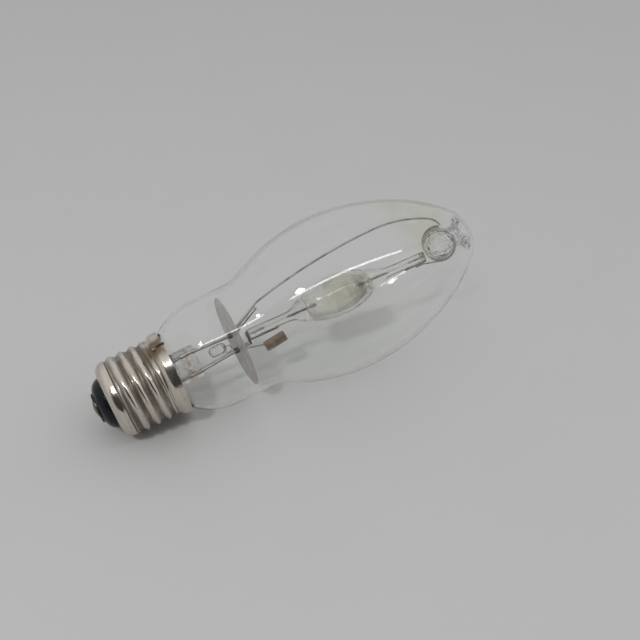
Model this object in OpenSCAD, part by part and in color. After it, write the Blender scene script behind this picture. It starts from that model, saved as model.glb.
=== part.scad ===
// Clear metal halide lamp with a medium screw cap, lying on its side.
// Each piece is drawn on the lamp's own axis, with the centre contact at height 0
// and the dome upward, and is then laid down on the surface by lay().

/* [Screw cap] */
// Diameter over the thread crests
thread_d = 26.3; // [26.05:0.05:26.45]
// Pitch of the rolled thread
thread_pitch = 3.629; // [3.5:0.001:3.7]
// Depth of the rolled thread from crest to root
thread_depth = 1.0; // [0.7:0.05:1.1]
// Height of the lowest full thread crest, on the side that lies upward
thread_start = 11.1; // [10.9:0.1:11.4]
// Height of the cap's rim above the contact
cap_h = 27; // [26.8:0.1:27.4]
// Distance that the skirt's rim stands out beyond the thread crests
skirt_out = 0.95; // [0.85:0.05:1.25]
// Height of the plain skirt
skirt_h = 3.9; // [3.6:0.1:4.2]
// Thickness of the cap's sheet metal
shell_wall = 0.3; // [0.2:0.05:0.35]
// Height of the cap's closed end above the contact
end_z = 5; // [4.6:0.1:5.3]
// Radius of the rounded end turn
end_round = 3.2; // [2.8:0.1:3.4]
// Width of the flat lip between that turn and the insulator
end_lip = 0.85; // [0.6:0.05:1.2]

/* [Insulator and contact] */
// Diameter of the insulator's small end
insulator_tip_d = 10.6; // [10:0.1:12]
// Thickness of the insulator inside the cap
insulator_inside = 2.1; // [1.5:0.1:2.4]
// Ledge of the insulator round the centre contact
contact_in = 0.5; // [0.4:0.1:1]
// Thickness of the centre contact plate
contact_t = 0.5; // [0.3:0.1:0.8]
// Height of the solder drop on the centre contact
solder_h = 0.9; // [0.6:0.1:1.2]
// Diameter of the solder drop
solder_d = 6.4; // [5:0.1:8]

/* [Outer bulb] */
// Largest diameter of the bulb
bulb_d = 54; // [53:0.5:55]
// Distance of the bulb's widest circle from the cap's rim
bulb_up = 61; // [60:0.5:62]
// Diameter of the neck above the cap
neck_d = 36.3; // [35.8:0.1:36.6]
// Clearance between the glass and the side lead at the cap's rim
rim_play = 0.5175; // [0.5:0.0025:0.7]
// Radius of the round shoulder between cap and neck
shoulder_r = 22; // [21.4:0.1:22]
// Radius of the hollow curve between neck and bulb
waist_r = 20; // [14:1:24]
// Radius of the bulb's side below its widest circle
side_r = 62; // [58:1:66]
// Radius of the dome
dome_r = 14; // [12:0.5:16]
// Thickness of the bulb's glass
glass_wall = 0.9; // [0.7:0.1:1.1]
// Thickness of the cement between the neck's tube and the cap
cement_t = 1.25; // [1:0.05:1.5]
// Gap between the insulator and the end of the neck's tube
neck_gap = 5.2; // [4.8:0.1:5.6]
// Radius of the hollow curve between tube and shoulder
neck_blend_r = 4; // [3:0.5:5]
// Outer diameter of the dimple's ball, seen from inside the bulb
dimple_d = 11.2; // [11:0.1:11.4]
// Outer diameter of the dimple's throat
throat_d = 7.8; // [7:0.1:8.2]
// Depth of the middle of the dimple's ball below the dome's end
dimple_in = 10.7; // [10.4:0.1:11]
// Radius of the dimple's round lip
dimple_lip_r = 1.8; // [1.4:0.1:2]

/* [Stem] */
// Outer diameter of the stem tube
stem_d = 11; // [10.6:0.1:12]
// Thickness of the stem's glass
stem_wall = 1; // [0.8:0.1:1.2]
// Height at which the stem tube closes and the press starts
press_z = 24; // [23:0.5:25]
// Length of the press
press_l = 11.5; // [11:0.5:12.5]
// Width of the press across the leads
press_w = 10.8; // [10.2:0.1:12]
// Thickness of the press
press_t = 4.4; // [4:0.1:5]
// Outer diameter of the exhaust tube
exhaust_d = 4; // [3.5:0.1:4.4]
// Distance that the exhaust tube's sealed tip stands out of the neck's tube
exhaust_out = 3; // [1:0.1:3.2]
// Thickness of the exhaust tube's glass
exhaust_wall = 0.6; // [0.4:0.1:0.8]

/* [Leads and frame] */
// Angle from the lying lamp's top round to the plane of the leads
mount_turn = -43; // [-180:1:180]
// Angle from that plane round to the weld on the cap
weld_turn = 49; // [0:1:90]
// Diameter of the lead wires in the cap
lead_d = 0.5; // [0.4:0.05:0.5]
// Radius of the drop of weld metal on the cap
weld_r = 1.1; // [0.9:0.1:1.3]
// Diameter of the support rods
rod_d = 1.2; // [0.9:0.1:1.2]
// Offset of the long rod from the axis at the press
long_rod_x = 3.1; // [2.9:0.1:3.3]
// Offset of the long rod from the axis below its bend
long_rod_in = 2.4; // [2.4:0.1:2.7]
// Offset of the short rod from the axis at the press
short_rod_x = 3.6; // [3.4:0.1:3.8]
// Offset of the short rod's end from the axis
short_rod_in = 2.4; // [2.3:0.1:2.6]
// Distance from the heat shield to the long rod's outward bend
bend_up = 1.3; // [1.1:0.1:1.6]
// Offset of the long rod's elbow from the rod below it
elbow_out = 1.1; // [1:0.1:1.2]
// Rise of the long rod to its elbow
elbow_up = 1.5; // [1.4:0.1:1.6]
// Length of the long rod's sloping end
slope_l = 8.8; // [8:0.1:9]
// Angle of the sloping end from the axis
slope_a = 25; // [24:1:26]
// Diameter of the bow wire
bow_d = 0.7; // [0.6:0.05:0.8]
// Length of the bow wire's straight tail beside the sloping end
bow_straight = 8.6; // [8.5:0.1:8.8]
// Radius of the bow wire's first bend
bow_bend_r = 12; // [11:0.5:13]
// Angle of the bow wire from the axis after that bend
bow_a = 12.7; // [12.5:0.1:12.9]
// Radius of the bow wire's long curve beside the arc tube
bow_r = 210; // [208:1:212]
// Radius of the bow wire where it turns inward
bow_top_r = 41.5; // [41:0.5:42]
// Angle of the bow wire from the axis where its hook starts
hook_a = 27.3; // [27:0.1:27.6]
// Radius of the bow wire's hook
hook_r = 6; // [5.9:0.1:6.1]
// Angle of the bow wire from the axis at its end
hook_end_a = 75; // [74:0.5:76]
// Lean of the bow wire out of the plane of the leads
bow_lean = 1.8; // [1.6:0.1:2]
// Diameter of the wire loop round the dimple
loop_wire_d = 0.8; // [0.6:0.1:0.9]
// Lean of the wire loop
loop_lean = 38; // [34:1:42]
// Angle at which the wire loop starts
loop_from = 85; // [80:1:100]
// Sweep of the wire loop
loop_sweep = 302; // [290:1:310]
// Angle at which the link wire meets the loop
link_at = 195; // [190:1:200]

/* [Heat shield and small parts] */
// Diameter of the mica heat shield
shield_d = 31; // [29:0.5:32]
// Thickness of the heat shield
shield_t = 0.35; // [0.2:0.05:0.5]
// Height of the heat shield's middle
shield_z = 48.9; // [48.7:0.1:49]
// Clearance of the rods in the heat shield
shield_play = 0.15; // [0.1:0.01:0.25]
// Length of the crimped stops under the shield
stop_l = 1.4; // [1:0.1:1.6]
// Thickness of the crimped stops
stop_t = 0.4; // [0.3:0.05:0.5]
// Diameter of the thin wires of the getter and the starting capsule
thin_wire_d = 0.5; // [0.4:0.05:0.6]
// Diameter of the starting capsule
capsule_d = 3.6; // [3:0.1:3.7]
// Length of the starting capsule
capsule_l = 6; // [5:0.1:6]
// Distance of the starting capsule from the press
capsule_up = 3.9; // [3.5:0.1:4]
// Thickness of the starting capsule's glass
capsule_wall = 0.4; // [0.3:0.1:0.6]
// Length of the getter flag
getter_l = 7.8; // [7:0.1:9]
// Width of the getter flag
getter_w = 3.5; // [3:0.1:4]
// Thickness of the getter flag
getter_t = 0.4; // [0.3:0.1:0.6]
// Offset of the getter flag's near edge from the axis
getter_x = 4.1; // [4:0.1:4.4]
// Distance of the getter flag from the heat shield
getter_up = 7.9; // [7.1:0.1:9]
// Lean of the getter flag
getter_lean = 5.5; // [4:0.5:6]

/* [Arc tube] */
// Distance of the arc tube from the heat shield
tube_up = 4.5; // [4.4:0.1:4.7]
// Gap between the arc tube and the dimple's ball
end_gap = 2.1; // [2:0.1:2.3]
// Offset of the arc tube's lower end from the axis
tube_x = 0.3; // [0.1:0.1:0.5]
// Lean of the arc tube against the lamp's axis
tube_lean = 1.7; // [1.5:0.1:1.9]
// Length of the arc tube over its two seals
tube_l = 66.2; // [65.8:0.1:66.4]
// Distance from each flat seal to the end of the round body
seal_gap = 1.1; // [0.8:0.1:1.3]
// Width of each flat seal
seal_w = 7.4; // [6.5:0.1:8]
// Thickness of each flat seal
seal_t = 3.4; // [3:0.1:3.6]
// Largest diameter of the arc tube's body
body_d = 14; // [13:0.1:15]
// Length of the round body
body_l = 29; // [28:0.1:30]
// Length of the flare between each seal and the body
flare_l = 6; // [5:0.5:7]
// Width that the flare gains on each side
flare_out = 2; // [1.5:0.1:2.3]
// Thickness of the quartz
quartz_wall = 1.1; // [0.9:0.1:1.3]
// Width of the sealing foils
foil_w = 2.4; // [2:0.1:3]
// Length of the sealing foils
foil_l = 10; // [9:0.1:10.5]
// Thickness of the sealing foils
foil_t = 0.1; // [0.06:0.01:0.15]
// Distance of each foil from the seal's outer end
foil_in = 5; // [4:0.1:5.5]
// Diameter of the wires sealed in the arc tube
seal_wire_d = 0.7; // [0.5:0.05:0.8]
// Distance between the electrode tips
arc_gap = 16; // [14:0.5:18]
// Turns of tungsten coil on each electrode
coil_turns = 5; // [3:1:6]
// Diameter of the coil's wire
coil_wire_d = 0.4; // [0.3:0.05:0.45]
// Distance over which the white coating covers each end of the body
coat_w = 6; // [4:0.1:7]
// Thickness of the white coating
coat_t = 0.12; // [0.08:0.01:0.2]
// Thickness of the film of halide salts
salts_t = 0.15; // [0.1:0.01:0.3]
// Length of the film of halide salts
salts_l = 14; // [10:0.5:15]
// Distance that the film reaches below the body's middle
salts_low = 3; // [1:0.5:4]
// Width of the steel straps that hold the seals
strap_w = 3; // [2.5:0.1:4]
// Thickness of the straps
strap_t = 0.4; // [0.3:0.05:0.5]
// Length of the lower strap's leg
lower_leg = 10.2; // [9:0.1:11]
// Length of the upper strap's leg
upper_leg = 7.2; // [6:0.1:8]

/* [Hidden] */
$fa = 6;
$fs = 0.3;
round_steps = 96;
nickel = "#c9c4b8";
wire_grey = "#6f6c68";
clear_glass = [0.86, 0.9, 0.9, 0.3];

// Gap left where one piece drops into another
slip = 0.05;

// Screw cap
thread_mean_r = (thread_d - thread_depth) / 2;
thread_root_r = thread_d / 2 - thread_depth;
skirt_d = thread_d + 2 * skirt_out;
skirt_turn = 0.5;
thread_top = cap_h - skirt_h - skirt_turn;
ring_top = end_z + end_round;
turn_r = thread_mean_r - end_round;
end_hole_d = 2 * (turn_r - end_lip);
ring_steps = 7;
thread_steps = 32;
skirt_steps = 5;
angle_steps = 40;

function smooth(t) = let (u = min(1, max(0, t))) u * u * (3 - 2 * u);

// Stations along the cap's outer face: radius, height, outward normal, share of the thread
end_stations = [for (i = [0:ring_steps])
    let (a = 90 * i / ring_steps)
    [turn_r + end_round * sin(a), end_z + end_round * (1 - cos(a)), sin(a), -cos(a), 0]];
thread_stations = [for (i = [1:thread_steps])
    let (z = ring_top + (thread_top - ring_top) * i / thread_steps)
    [thread_mean_r, z, 1, 0, smooth(z - ring_top) * smooth((thread_top - z) / 1.6)]];
skirt_stations = [for (i = [1:skirt_steps])
    let (t = i / skirt_steps, share = 0.75 * smooth(2.2 * t) + 0.25 * t)
    [thread_mean_r + (skirt_d / 2 - thread_mean_r) * share,
        thread_top + (cap_h - thread_top) * t, 1, 0, 0]];
shell_stations = concat([[end_hole_d / 2, end_z, 0, -1, 0]],
    end_stations, thread_stations, skirt_stations);

function thread_wave(z, a) = thread_depth / 2 * cos(360 * (z - thread_start) / thread_pitch - a);
function shell_point(s, a, depth) =
    let (r = s[0] + s[4] * thread_wave(s[1], a) - depth * s[2])
    [r * cos(a), r * sin(a), s[1] - depth * s[3]];

// Insulator and contact
insulator_tip_z = solder_h + contact_t;
insulator_top_z = end_z + shell_wall + insulator_inside;
contact_d = insulator_tip_d - 2 * contact_in;
lead_r = lead_d / 2;
eyelet_t = 0.6;
eyelet_r = lead_r + eyelet_t;

// Heights along the lamp, each from the piece that the next one stands on
press_top = press_z + press_l;
capsule_z = press_top + capsule_up;
bend_z = shield_z + bend_up;
getter_z = shield_z + getter_up;
tube_z = shield_z + tube_up;
dimple_z = tube_z + tube_l + end_gap + dimple_d / 2;
lamp_l = dimple_z + dimple_in;
bulb_z = cap_h + bulb_up;
neck_end = insulator_top_z + neck_gap;
exhaust_z = neck_end - exhaust_out;

// Bulb glass: centres and joints of the arcs that make its outline
bulb_r = bulb_d / 2;
neck_r = neck_d / 2;
neck_tube_r = thread_root_r - shell_wall - cement_t;
rim_glass_r = skirt_d / 2 - shell_wall - lead_d - rim_play;
neck_z = cap_h + sqrt(pow(shoulder_r, 2) - pow(rim_glass_r - neck_r + shoulder_r, 2));
shoulder_c = [neck_r - shoulder_r, neck_z];
blend_cr = neck_tube_r + neck_blend_r;
blend_reach = shoulder_r + neck_blend_r;
blend_a = asin((blend_cr - shoulder_c[0]) / blend_reach);
blend_c = [blend_cr, neck_z - blend_reach * cos(blend_a)];
side_c = [bulb_r - side_r, bulb_z];
waist_a = asin((neck_r + waist_r - side_c[0]) / (side_r + waist_r));
waist_c = [neck_r + waist_r, bulb_z - (side_r + waist_r) * cos(waist_a)];
throat_r = throat_d / 2 - glass_wall;
ball_r = dimple_d / 2 - glass_wall;
lip_a = asin((throat_r + dimple_lip_r) / (dome_r - dimple_lip_r));
lip_c = [throat_r + dimple_lip_r, lamp_l - dimple_lip_r];
dome_z = lip_c[1] - (dome_r - dimple_lip_r) * cos(lip_a);
front_r = (pow(dome_z - bulb_z, 2) + bulb_r * bulb_r - dome_r * dome_r) / (2 * (bulb_r - dome_r));
front_c = [bulb_r - front_r, bulb_z];
front_a = atan2(dome_z - bulb_z, -front_c[0]);

// Points on an arc about c from angle a0 to a1, an angle of 90 being toward the dome
function arc(c, r, a0, a1, n) = [for (i = [0:n])
    let (a = a0 + (a1 - a0) * i / n)
    [c[0] + r * cos(a), c[1] + r * sin(a)]];

// Outline of the bulb from the neck's end to the dimple, moved inward by off
function bulb_line(off) = concat(
    [[neck_tube_r - off, neck_end]],
    arc(blend_c, neck_blend_r + off, 180, 90 + blend_a, 5),
    arc(shoulder_c, shoulder_r - off, blend_a - 87, 0, 12),
    arc(waist_c, waist_r + off, 180, 90 + waist_a, 6),
    arc(side_c, side_r - off, waist_a - 87, 0, 10),
    arc(front_c, front_r - off, 4, front_a - 3, 12),
    arc([0, dome_z], dome_r - off, front_a, 90 - lip_a, 6),
    arc(lip_c, dimple_lip_r - off, 84 - lip_a, 180, 8),
    arc([0, dimple_z], ball_r + off, 90 - asin((throat_r + off) / (ball_r + off)), -90, 24));

// The line under the lying lamp touches a thread crest and the side of the bulb
crest_z = thread_start - thread_pitch / 2;
crest_r = thread_d / 2;
rest_d = norm([side_c[0] - crest_r, bulb_z - crest_z]);
rest_tilt = asin(side_r / rest_d) + atan2(side_c[0] - crest_r, bulb_z - crest_z);
rest_lift = crest_r * cos(rest_tilt) - crest_z * sin(rest_tilt);

// Ends of the lying lamp along the surface
solder_ball_r = (pow(solder_d / 2, 2) + solder_h * solder_h) / (2 * solder_h);
front_end = lip_c[1] * cos(rest_tilt) + lip_c[0] * sin(rest_tilt) + dimple_lip_r;
back_end = solder_ball_r * (cos(rest_tilt) - 1);

// Leads
rod_r = rod_d / 2;
lead_in = 4;
seal_z = press_z + lead_in;
crossing_gap = 1.2;
crossing_z = neck_end - crossing_gap;
tip_bend_z = insulator_top_z + lead_r + slip;
channel_play = 0.35;
channel_low = 1.1;
channel_r = neck_tube_r + channel_play + lead_r;
channel_top = thread_top - channel_low;
rim_in_r = skirt_d / 2 - shell_wall - lead_r - 2 * slip;
rim_out_r = skirt_d / 2 + lead_r + slip;
rim_over_z = cap_h + lead_r + slip;
weld_z = cap_h - skirt_h + 1;
weld_path_r = skirt_d / 2 - 0.2 + lead_r;
lead_bend = 0.4;
rod_bend = 1.5;
thin_bend = 0.6;
bend_steps = 4;
wire_sides = 10;

// Bow wire: each arc holds its centre, radius, start angle and end angle
bow_wire_r = bow_d / 2;
bow_tail_l = 1.4;
bow_steps = 7;
slope_dir = [sin(slope_a), cos(slope_a)];
slope_out = [cos(slope_a), -sin(slope_a)];
elbow = [long_rod_in + elbow_out, bend_z + elbow_up];
bow_tail = elbow + (rod_r + bow_wire_r + slip) * slope_out;
function turned(p, r, a, b) = [p + r * [-cos(a), sin(a)], r, -a, -b];
// The arcs follow one another from the tail's end to the hook
function arc_end(t) = t[0] + t[1] * [cos(t[3]), sin(t[3])];
bow_bend = turned(bow_straight * slope_dir, bow_bend_r, slope_a, bow_a);
bow_side = turned(arc_end(bow_bend), bow_r, bow_a, 0);
bow_top = turned(arc_end(bow_side), bow_top_r, 0, -hook_a);
bow_hook = turned(arc_end(bow_top), hook_r, -hook_a, -hook_end_a);

// Loop round the dimple
loop_wire_r = loop_wire_d / 2;
loop_r = dimple_d / 2 + slip + loop_wire_r;
function loop_point(r, a) =
    [r * cos(a), r * sin(a) * cos(loop_lean), dimple_z + r * sin(a) * sin(loop_lean)];

// Arc tube, on its own axis
body_mid = tube_l / 2;
seal_l = body_mid - body_l / 2 - seal_gap;
body_r = body_d / 2;
cavity_l = body_l - 4 * quartz_wall;
seal_wire_r = seal_wire_d / 2;
electrode_l = body_mid - arc_gap / 2 - foil_in - foil_l;
strap_out = seal_t / 2 + strap_t;

// Small parts
thin_r = thin_wire_d / 2;
capsule_r = capsule_d / 2;
capsule_top = capsule_z + capsule_l;
short_rod_top = tube_z - strap_t - 3 * slip;
function short_rod_at(z) =
    -short_rod_x + (short_rod_x - short_rod_in) * (z - press_top) / (short_rod_top - press_top);
function long_rod_at(z) =
    long_rod_x + (long_rod_in - long_rod_x) * (z - press_top) / (bend_z - press_top);

// Lays the upright lamp down on the surface
module lay() {
    translate([-(front_end + back_end) / 2, 0, rest_lift])
        rotate([0, 90 - rest_tilt, 0]) rotate([0, 0, 180])
            children();
}

// Frame of the inner parts: X across the leads, Z along the lamp
module mount() {
    lay() rotate([0, 0, mount_turn]) children();
}

// Frame of the arc tube, with its lower end at height 0
module tube_frame() {
    mount() translate([tube_x, 0, tube_z]) rotate([0, -tube_lean, 0]) children();
}

// The upper end of the arc tube mirrors the lower one, except in its straps
module upper_end() {
    tube_frame() translate([0, 0, tube_l]) mirror([0, 0, 1]) children();
}

// Straight round wire from p to q
module rod(p, q, r) {
    v = q - p;
    translate(p) rotate([0, acos(v[2] / norm(v)), atan2(v[1], v[0])]) cylinder(r = r, h = norm(v));
}

function unit(v) = v / norm(v);

// A path whose inner corners are rounded by the bend radius
function rounded(points, bend) = let (last = len(points) - 1) concat([points[0]],
    [for (i = [1:last - 1])
        let (p = points[i], u = unit(p - points[i - 1]), w = unit(points[i + 1] - p),
            turn = acos(u * w), side = (w - (u * w) * u) / sin(turn),
            c = p - bend * tan(turn / 2) * u + bend * side)
        for (k = [0:bend_steps]) let (a = turn * k / bend_steps)
            c - bend * cos(a) * side + bend * sin(a) * u],
    [points[last]]);

// Side vector n carried along the directions of a path without twisting
function carried(dirs, n, i = 0) = i == len(dirs) ? [] :
    let (m = unit(n - (n * dirs[i]) * dirs[i])) concat([m], carried(dirs, m, i + 1));

// Round wire swept along a path that starts at right angles to the Y axis
module wire(path, r) {
    last = len(path) - 1;
    n = wire_sides;
    dirs = [for (i = [0:last])
        unit(unit(path[min(i + 1, last)] - path[min(i, last - 1)])
            + unit(path[max(i, 1)] - path[max(i - 1, 0)]))];
    sides = carried(dirs, [0, 1, 0]);
    points = [for (i = [0:last]) for (j = [0:n - 1])
        let (a = 360 * j / n)
        path[i] + r * (cos(a) * sides[i] + sin(a) * cross(dirs[i], sides[i]))];
    walls = [for (i = [0:last - 1]) for (j = [0:n - 1])
        let (k = (j + 1) % n)
        [i * n + k, i * n + j, (i + 1) * n + j, (i + 1) * n + k]];
    ends = [[for (j = [0:n - 1]) j], [for (j = [0:n - 1]) last * n + n - 1 - j]];
    polyhedron(points, concat(walls, ends), convexity = 8);
}

// Solid under the cap's outer face, from the threads to the rim
module skirt_core() {
    line = [for (s = skirt_stations) [s[0] + 0.02, s[1]]];
    rotate_extrude($fn = round_steps)
        polygon(concat([[0, thread_top], [thread_mean_r + 0.02, thread_top]], line, [[0, cap_h]]));
}

module contact_solder() {
    color("silver") lay() difference() {
        union() {
            intersection() {
                translate([0, 0, solder_ball_r]) sphere(r = solder_ball_r, $fn = round_steps);
                cylinder(d = solder_d, h = solder_h);
            }
            translate([0, 0, solder_h - 0.1]) cylinder(r = eyelet_r, h = contact_t + 0.1);
        }
        translate([0, 0, solder_h - 0.3]) cylinder(r = lead_r, h = contact_t + 1);
    }
}

module centre_contact() {
    color("#b9a46a") lay() translate([0, 0, solder_h]) difference() {
        cylinder(d = contact_d, h = contact_t);
        translate([0, 0, -1]) cylinder(r = eyelet_r, h = contact_t + 2);
    }
}

module insulator() {
    hole_r = end_hole_d / 2 - slip;
    tip_r = insulator_tip_d / 2;
    color("#14161a") lay() difference() {
        rotate_extrude($fn = round_steps) polygon([
            [0, insulator_tip_z], [tip_r - 0.4, insulator_tip_z], [tip_r, insulator_tip_z + 0.3],
            [hole_r - 0.3, end_z - 0.3], [hole_r, end_z], [hole_r, end_z + shell_wall],
            [turn_r, end_z + shell_wall], [turn_r - 0.6, insulator_top_z - 0.4],
            [turn_r - 1.2, insulator_top_z], [0, insulator_top_z]]);
        cylinder(r = lead_r + slip, h = cap_h);
    }
}

module screw_shell() {
    rows = len(shell_stations);
    n = angle_steps;
    outer = [for (s = shell_stations) for (j = [0:n - 1]) shell_point(s, 360 * (j + 0.5) / n, 0)];
    inner = [for (s = shell_stations) for (j = [0:n - 1]) shell_point(s, 360 * (j + 0.5) / n, shell_wall)];
    at = rows * n;
    walls = [for (i = [0:rows - 2]) for (j = [0:n - 1])
        let (k = (j + 1) % n, a = i * n + j, b = i * n + k, c = (i + 1) * n + k, d = (i + 1) * n + j)
        each [[a, d, c, b], [at + a, at + b, at + c, at + d]]];
    rims = [for (j = [0:n - 1])
        let (k = (j + 1) % n, e = (rows - 1) * n)
        each [[j, k, at + k, at + j], [e + j, at + e + j, at + e + k, e + k]]];
    color(nickel) lay() polyhedron(concat(outer, inner), concat(walls, rims), convexity = 6);
}

module base_cement() {
    low = neck_end + 0.4;
    depth = channel_top - 1 - low;
    color("#a89f8c") lay() difference() {
        translate([0, 0, low])
            cylinder(r = thread_root_r - shell_wall - slip, h = depth);
        translate([0, 0, low - 1]) cylinder(r = neck_tube_r, h = depth + 2);
        rotate([0, 0, mount_turn + weld_turn])
            translate([0, -lead_r, low - 1]) cube([thread_d / 2, lead_d, depth + 2]);
    }
}

// Lead from the press, under the neck, up beside it and over the cap's rim to its weld
module side_lead() {
    beside = [[channel_r, crossing_z], [channel_r, channel_top], [rim_in_r, cap_h - 0.4],
        [rim_in_r, rim_over_z], [rim_out_r, rim_over_z], [rim_out_r, cap_h - 1.5],
        [weld_path_r, weld_z]];
    turned_up = [for (p = beside) [p[0] * cos(weld_turn), p[0] * sin(weld_turn), p[1]]];
    color(wire_grey) mount()
        wire(rounded(concat([[long_rod_x, 0, seal_z], [long_rod_x, 0, crossing_z]], turned_up),
            lead_bend), lead_r);
}

module side_weld() {
    color("silver") mount() difference() {
        rotate([0, 0, weld_turn]) translate([skirt_d / 2 - 0.5, 0, weld_z]) sphere(r = weld_r);
        skirt_core();
        translate([0, 0, thread_top - 5]) cylinder(r = thread_mean_r + 0.02, h = 5);
        rotate([0, 0, weld_turn])
            rod([rim_out_r, 0, cap_h - 1.5], [weld_path_r, 0, weld_z], lead_r);
    }
}

// Lead from the press to the centre contact, bent round the exhaust tube's tip
module centre_lead() {
    color(wire_grey) mount()
        wire(rounded([[-short_rod_x, 0, seal_z], [-short_rod_x, 0, crossing_z],
            [0, 0, tip_bend_z], [0, 0, solder_h - 0.3]], lead_bend), lead_r);
}

module outer_bulb() {
    inside = bulb_line(glass_wall);
    last = len(inside) - 1;
    color(clear_glass) lay() rotate_extrude($fn = round_steps)
        polygon(concat(bulb_line(0), [for (i = [0:last]) inside[last - i]]));
}

// Flared tube, closed at its top by the press that holds the leads
module stem() {
    out_r = stem_d / 2;
    in_r = out_r - stem_wall;
    flare_r = neck_tube_r - glass_wall;
    curve = flare_r - out_r;
    color(clear_glass) mount() difference() {
        union() {
            rotate_extrude($fn = round_steps) polygon(concat(
                [[flare_r - stem_wall, neck_end], [flare_r, neck_end], [flare_r, neck_end + 0.6]],
                arc([flare_r, neck_end + 0.6 + curve], curve, 264, 180, 7),
                arc([0, press_z - out_r / 2], out_r, 0, 90, 8),
                arc([0, press_z - out_r / 2], in_r, 90, 0, 8),
                arc([flare_r, neck_end + 0.6 + curve], curve + stem_wall, 180, 258, 7)));
            translate([-press_w / 2, -press_t / 2, press_z])
                cube([press_w, press_t, press_top - press_z]);
        }
        for (x = [long_rod_x, -short_rod_x]) translate([x, 0, 0]) {
            translate([0, 0, neck_end]) cylinder(r = lead_r, h = seal_z - neck_end);
            translate([0, 0, seal_z]) cylinder(r = rod_r, h = press_top);
        }
    }
}

// Tube through which the lamp was emptied and filled, with its tip melted shut
module exhaust_tube() {
    r = exhaust_d / 2;
    color(clear_glass) lay() rotate_extrude($fn = round_steps) polygon(concat(
        arc([0, exhaust_z + r], r, -90, 0, 8), [[r, press_z], [r - exhaust_wall, press_z]],
        arc([0, exhaust_z + r], r - exhaust_wall, 0, -90, 8)));
}

module long_rod() {
    start = [long_rod_x, 0, press_top];
    below = [long_rod_in, 0, bend_z];
    knee = [elbow[0], 0, elbow[1]];
    color(wire_grey) mount()
        wire(rounded([[long_rod_x, 0, seal_z], start, below, knee,
            knee + slope_l * [slope_dir[0], 0, slope_dir[1]]], rod_bend), rod_r);
}

module short_rod() {
    color(wire_grey) mount()
        wire(rounded([[-short_rod_x, 0, seal_z], [-short_rod_x, 0, press_top],
            [-short_rod_in, 0, short_rod_top]], rod_bend), rod_r);
}

// Sleeve crimped on a rod under the shield, along the rod from p toward q
module shield_stop(p, q) {
    high = shield_z - shield_t / 2 - 0.1 - p[2];
    dir = (q - p) / norm(q - p);
    top = p + dir * high;
    color(nickel) mount() difference() {
        rod(top - dir * stop_l, top, rod_r + stop_t);
        rod(top - dir * (stop_l + 1), top + dir, rod_r);
    }
}
module shield_stop_long() {
    shield_stop([long_rod_x, 0, press_top], [long_rod_in, 0, bend_z]);
}
module shield_stop_short() {
    shield_stop([-short_rod_x, 0, press_top], [-short_rod_in, 0, short_rod_top]);
}

module heat_shield() {
    color([0.72, 0.66, 0.64, 0.7]) mount() translate([0, 0, shield_z - shield_t / 2]) difference() {
        cylinder(d = shield_d, h = shield_t, $fn = round_steps);
        for (x = [long_rod_at(shield_z), short_rod_at(shield_z)])
            translate([x, 0, -1]) cylinder(r = rod_r + shield_play, h = shield_t + 2);
    }
}

module starting_capsule() {
    in_r = capsule_r - capsule_wall;
    color(clear_glass) mount() difference() {
        translate([0, 0, capsule_z]) union() {
            translate([0, 0, capsule_r]) sphere(r = capsule_r);
            translate([0, 0, capsule_r]) cylinder(r = capsule_r, h = capsule_l - 2 * capsule_r);
            translate([0, 0, capsule_l - capsule_r]) sphere(r = capsule_r);
        }
        translate([0, 0, capsule_z]) union() {
            translate([0, 0, capsule_r]) sphere(r = in_r);
            translate([0, 0, capsule_r]) cylinder(r = in_r, h = capsule_l - 2 * capsule_r);
            translate([0, 0, capsule_l - capsule_r]) sphere(r = in_r);
        }
        translate([0, 0, capsule_top - capsule_r]) cylinder(r = thin_r, h = capsule_r + 1);
    }
}

// Wire from the capsule, over in a hoop and down along the short rod
module capsule_wire() {
    rise = capsule_top + 0.4;
    hoop = (-short_rod_at(rise) - rod_r - thin_r - slip) / 2;
    flat = concat([[0, capsule_top - 1.4]], arc([-hoop, rise], hoop, 0, 180, 10),
        [[-2 * hoop, rise - 1.6]]);
    color(wire_grey) mount() wire([for (p = flat) [p[0], 0, p[1]]], thin_r);
}

// Wire from the short rod to the back of the getter flag
module getter_wire() {
    foot = shield_z + 0.8;
    foot_x = short_rod_at(foot) - rod_r - thin_r - slip;
    back = -getter_t / 2 - thin_r;
    color(wire_grey) mount()
        wire(rounded([[foot_x, 0, foot], [foot_x, 0, foot + 1.6], [-getter_x - 0.9, back, getter_z],
            [-getter_x - 0.7, back, getter_z + 0.7 * getter_l]], thin_bend), thin_r);
}

module getter_flag() {
    color("#4f3f36") mount() translate([-getter_x, 0, getter_z]) rotate([0, getter_lean, 0])
        translate([-getter_w, -getter_t / 2, 0]) cube([getter_w, getter_t, getter_l]);
}

module bow_wire() {
    flat = concat([-bow_tail_l * slope_dir, bow_straight * slope_dir],
        [for (t = [bow_bend, bow_side, bow_top, bow_hook])
            let (line = arc(t[0], t[1], t[2], t[3], bow_steps))
            for (i = [1:bow_steps]) line[i]]);
    color(wire_grey) mount() translate([bow_tail[0], 0, bow_tail[1]]) rotate([-bow_lean, 0, 0])
        wire([for (p = flat) [p[0], 0, p[1]]], bow_wire_r);
}

module dimple_loop() {
    color(wire_grey) mount() translate([0, 0, dimple_z]) rotate([loop_lean, 0, 0])
        rotate([0, 0, loop_from]) rotate_extrude(angle = loop_sweep, $fn = round_steps)
            translate([loop_r, 0]) circle(r = loop_wire_r);
}

// Wire from the upper strap to the loop
module link_wire() {
    leg_top = tube_z + tube_l - 0.6;
    leg_x = tube_x - (tube_l - 0.6) * tan(tube_lean) - strap_out - thin_r - slip;
    color(wire_grey) mount()
        wire(rounded([[leg_x, 0, leg_top - 3], [leg_x, 0, leg_top], loop_point(loop_r + 0.02, link_at)
            - [0, 0, loop_wire_r + thin_r + slip]], thin_bend), thin_r);
}

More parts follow.
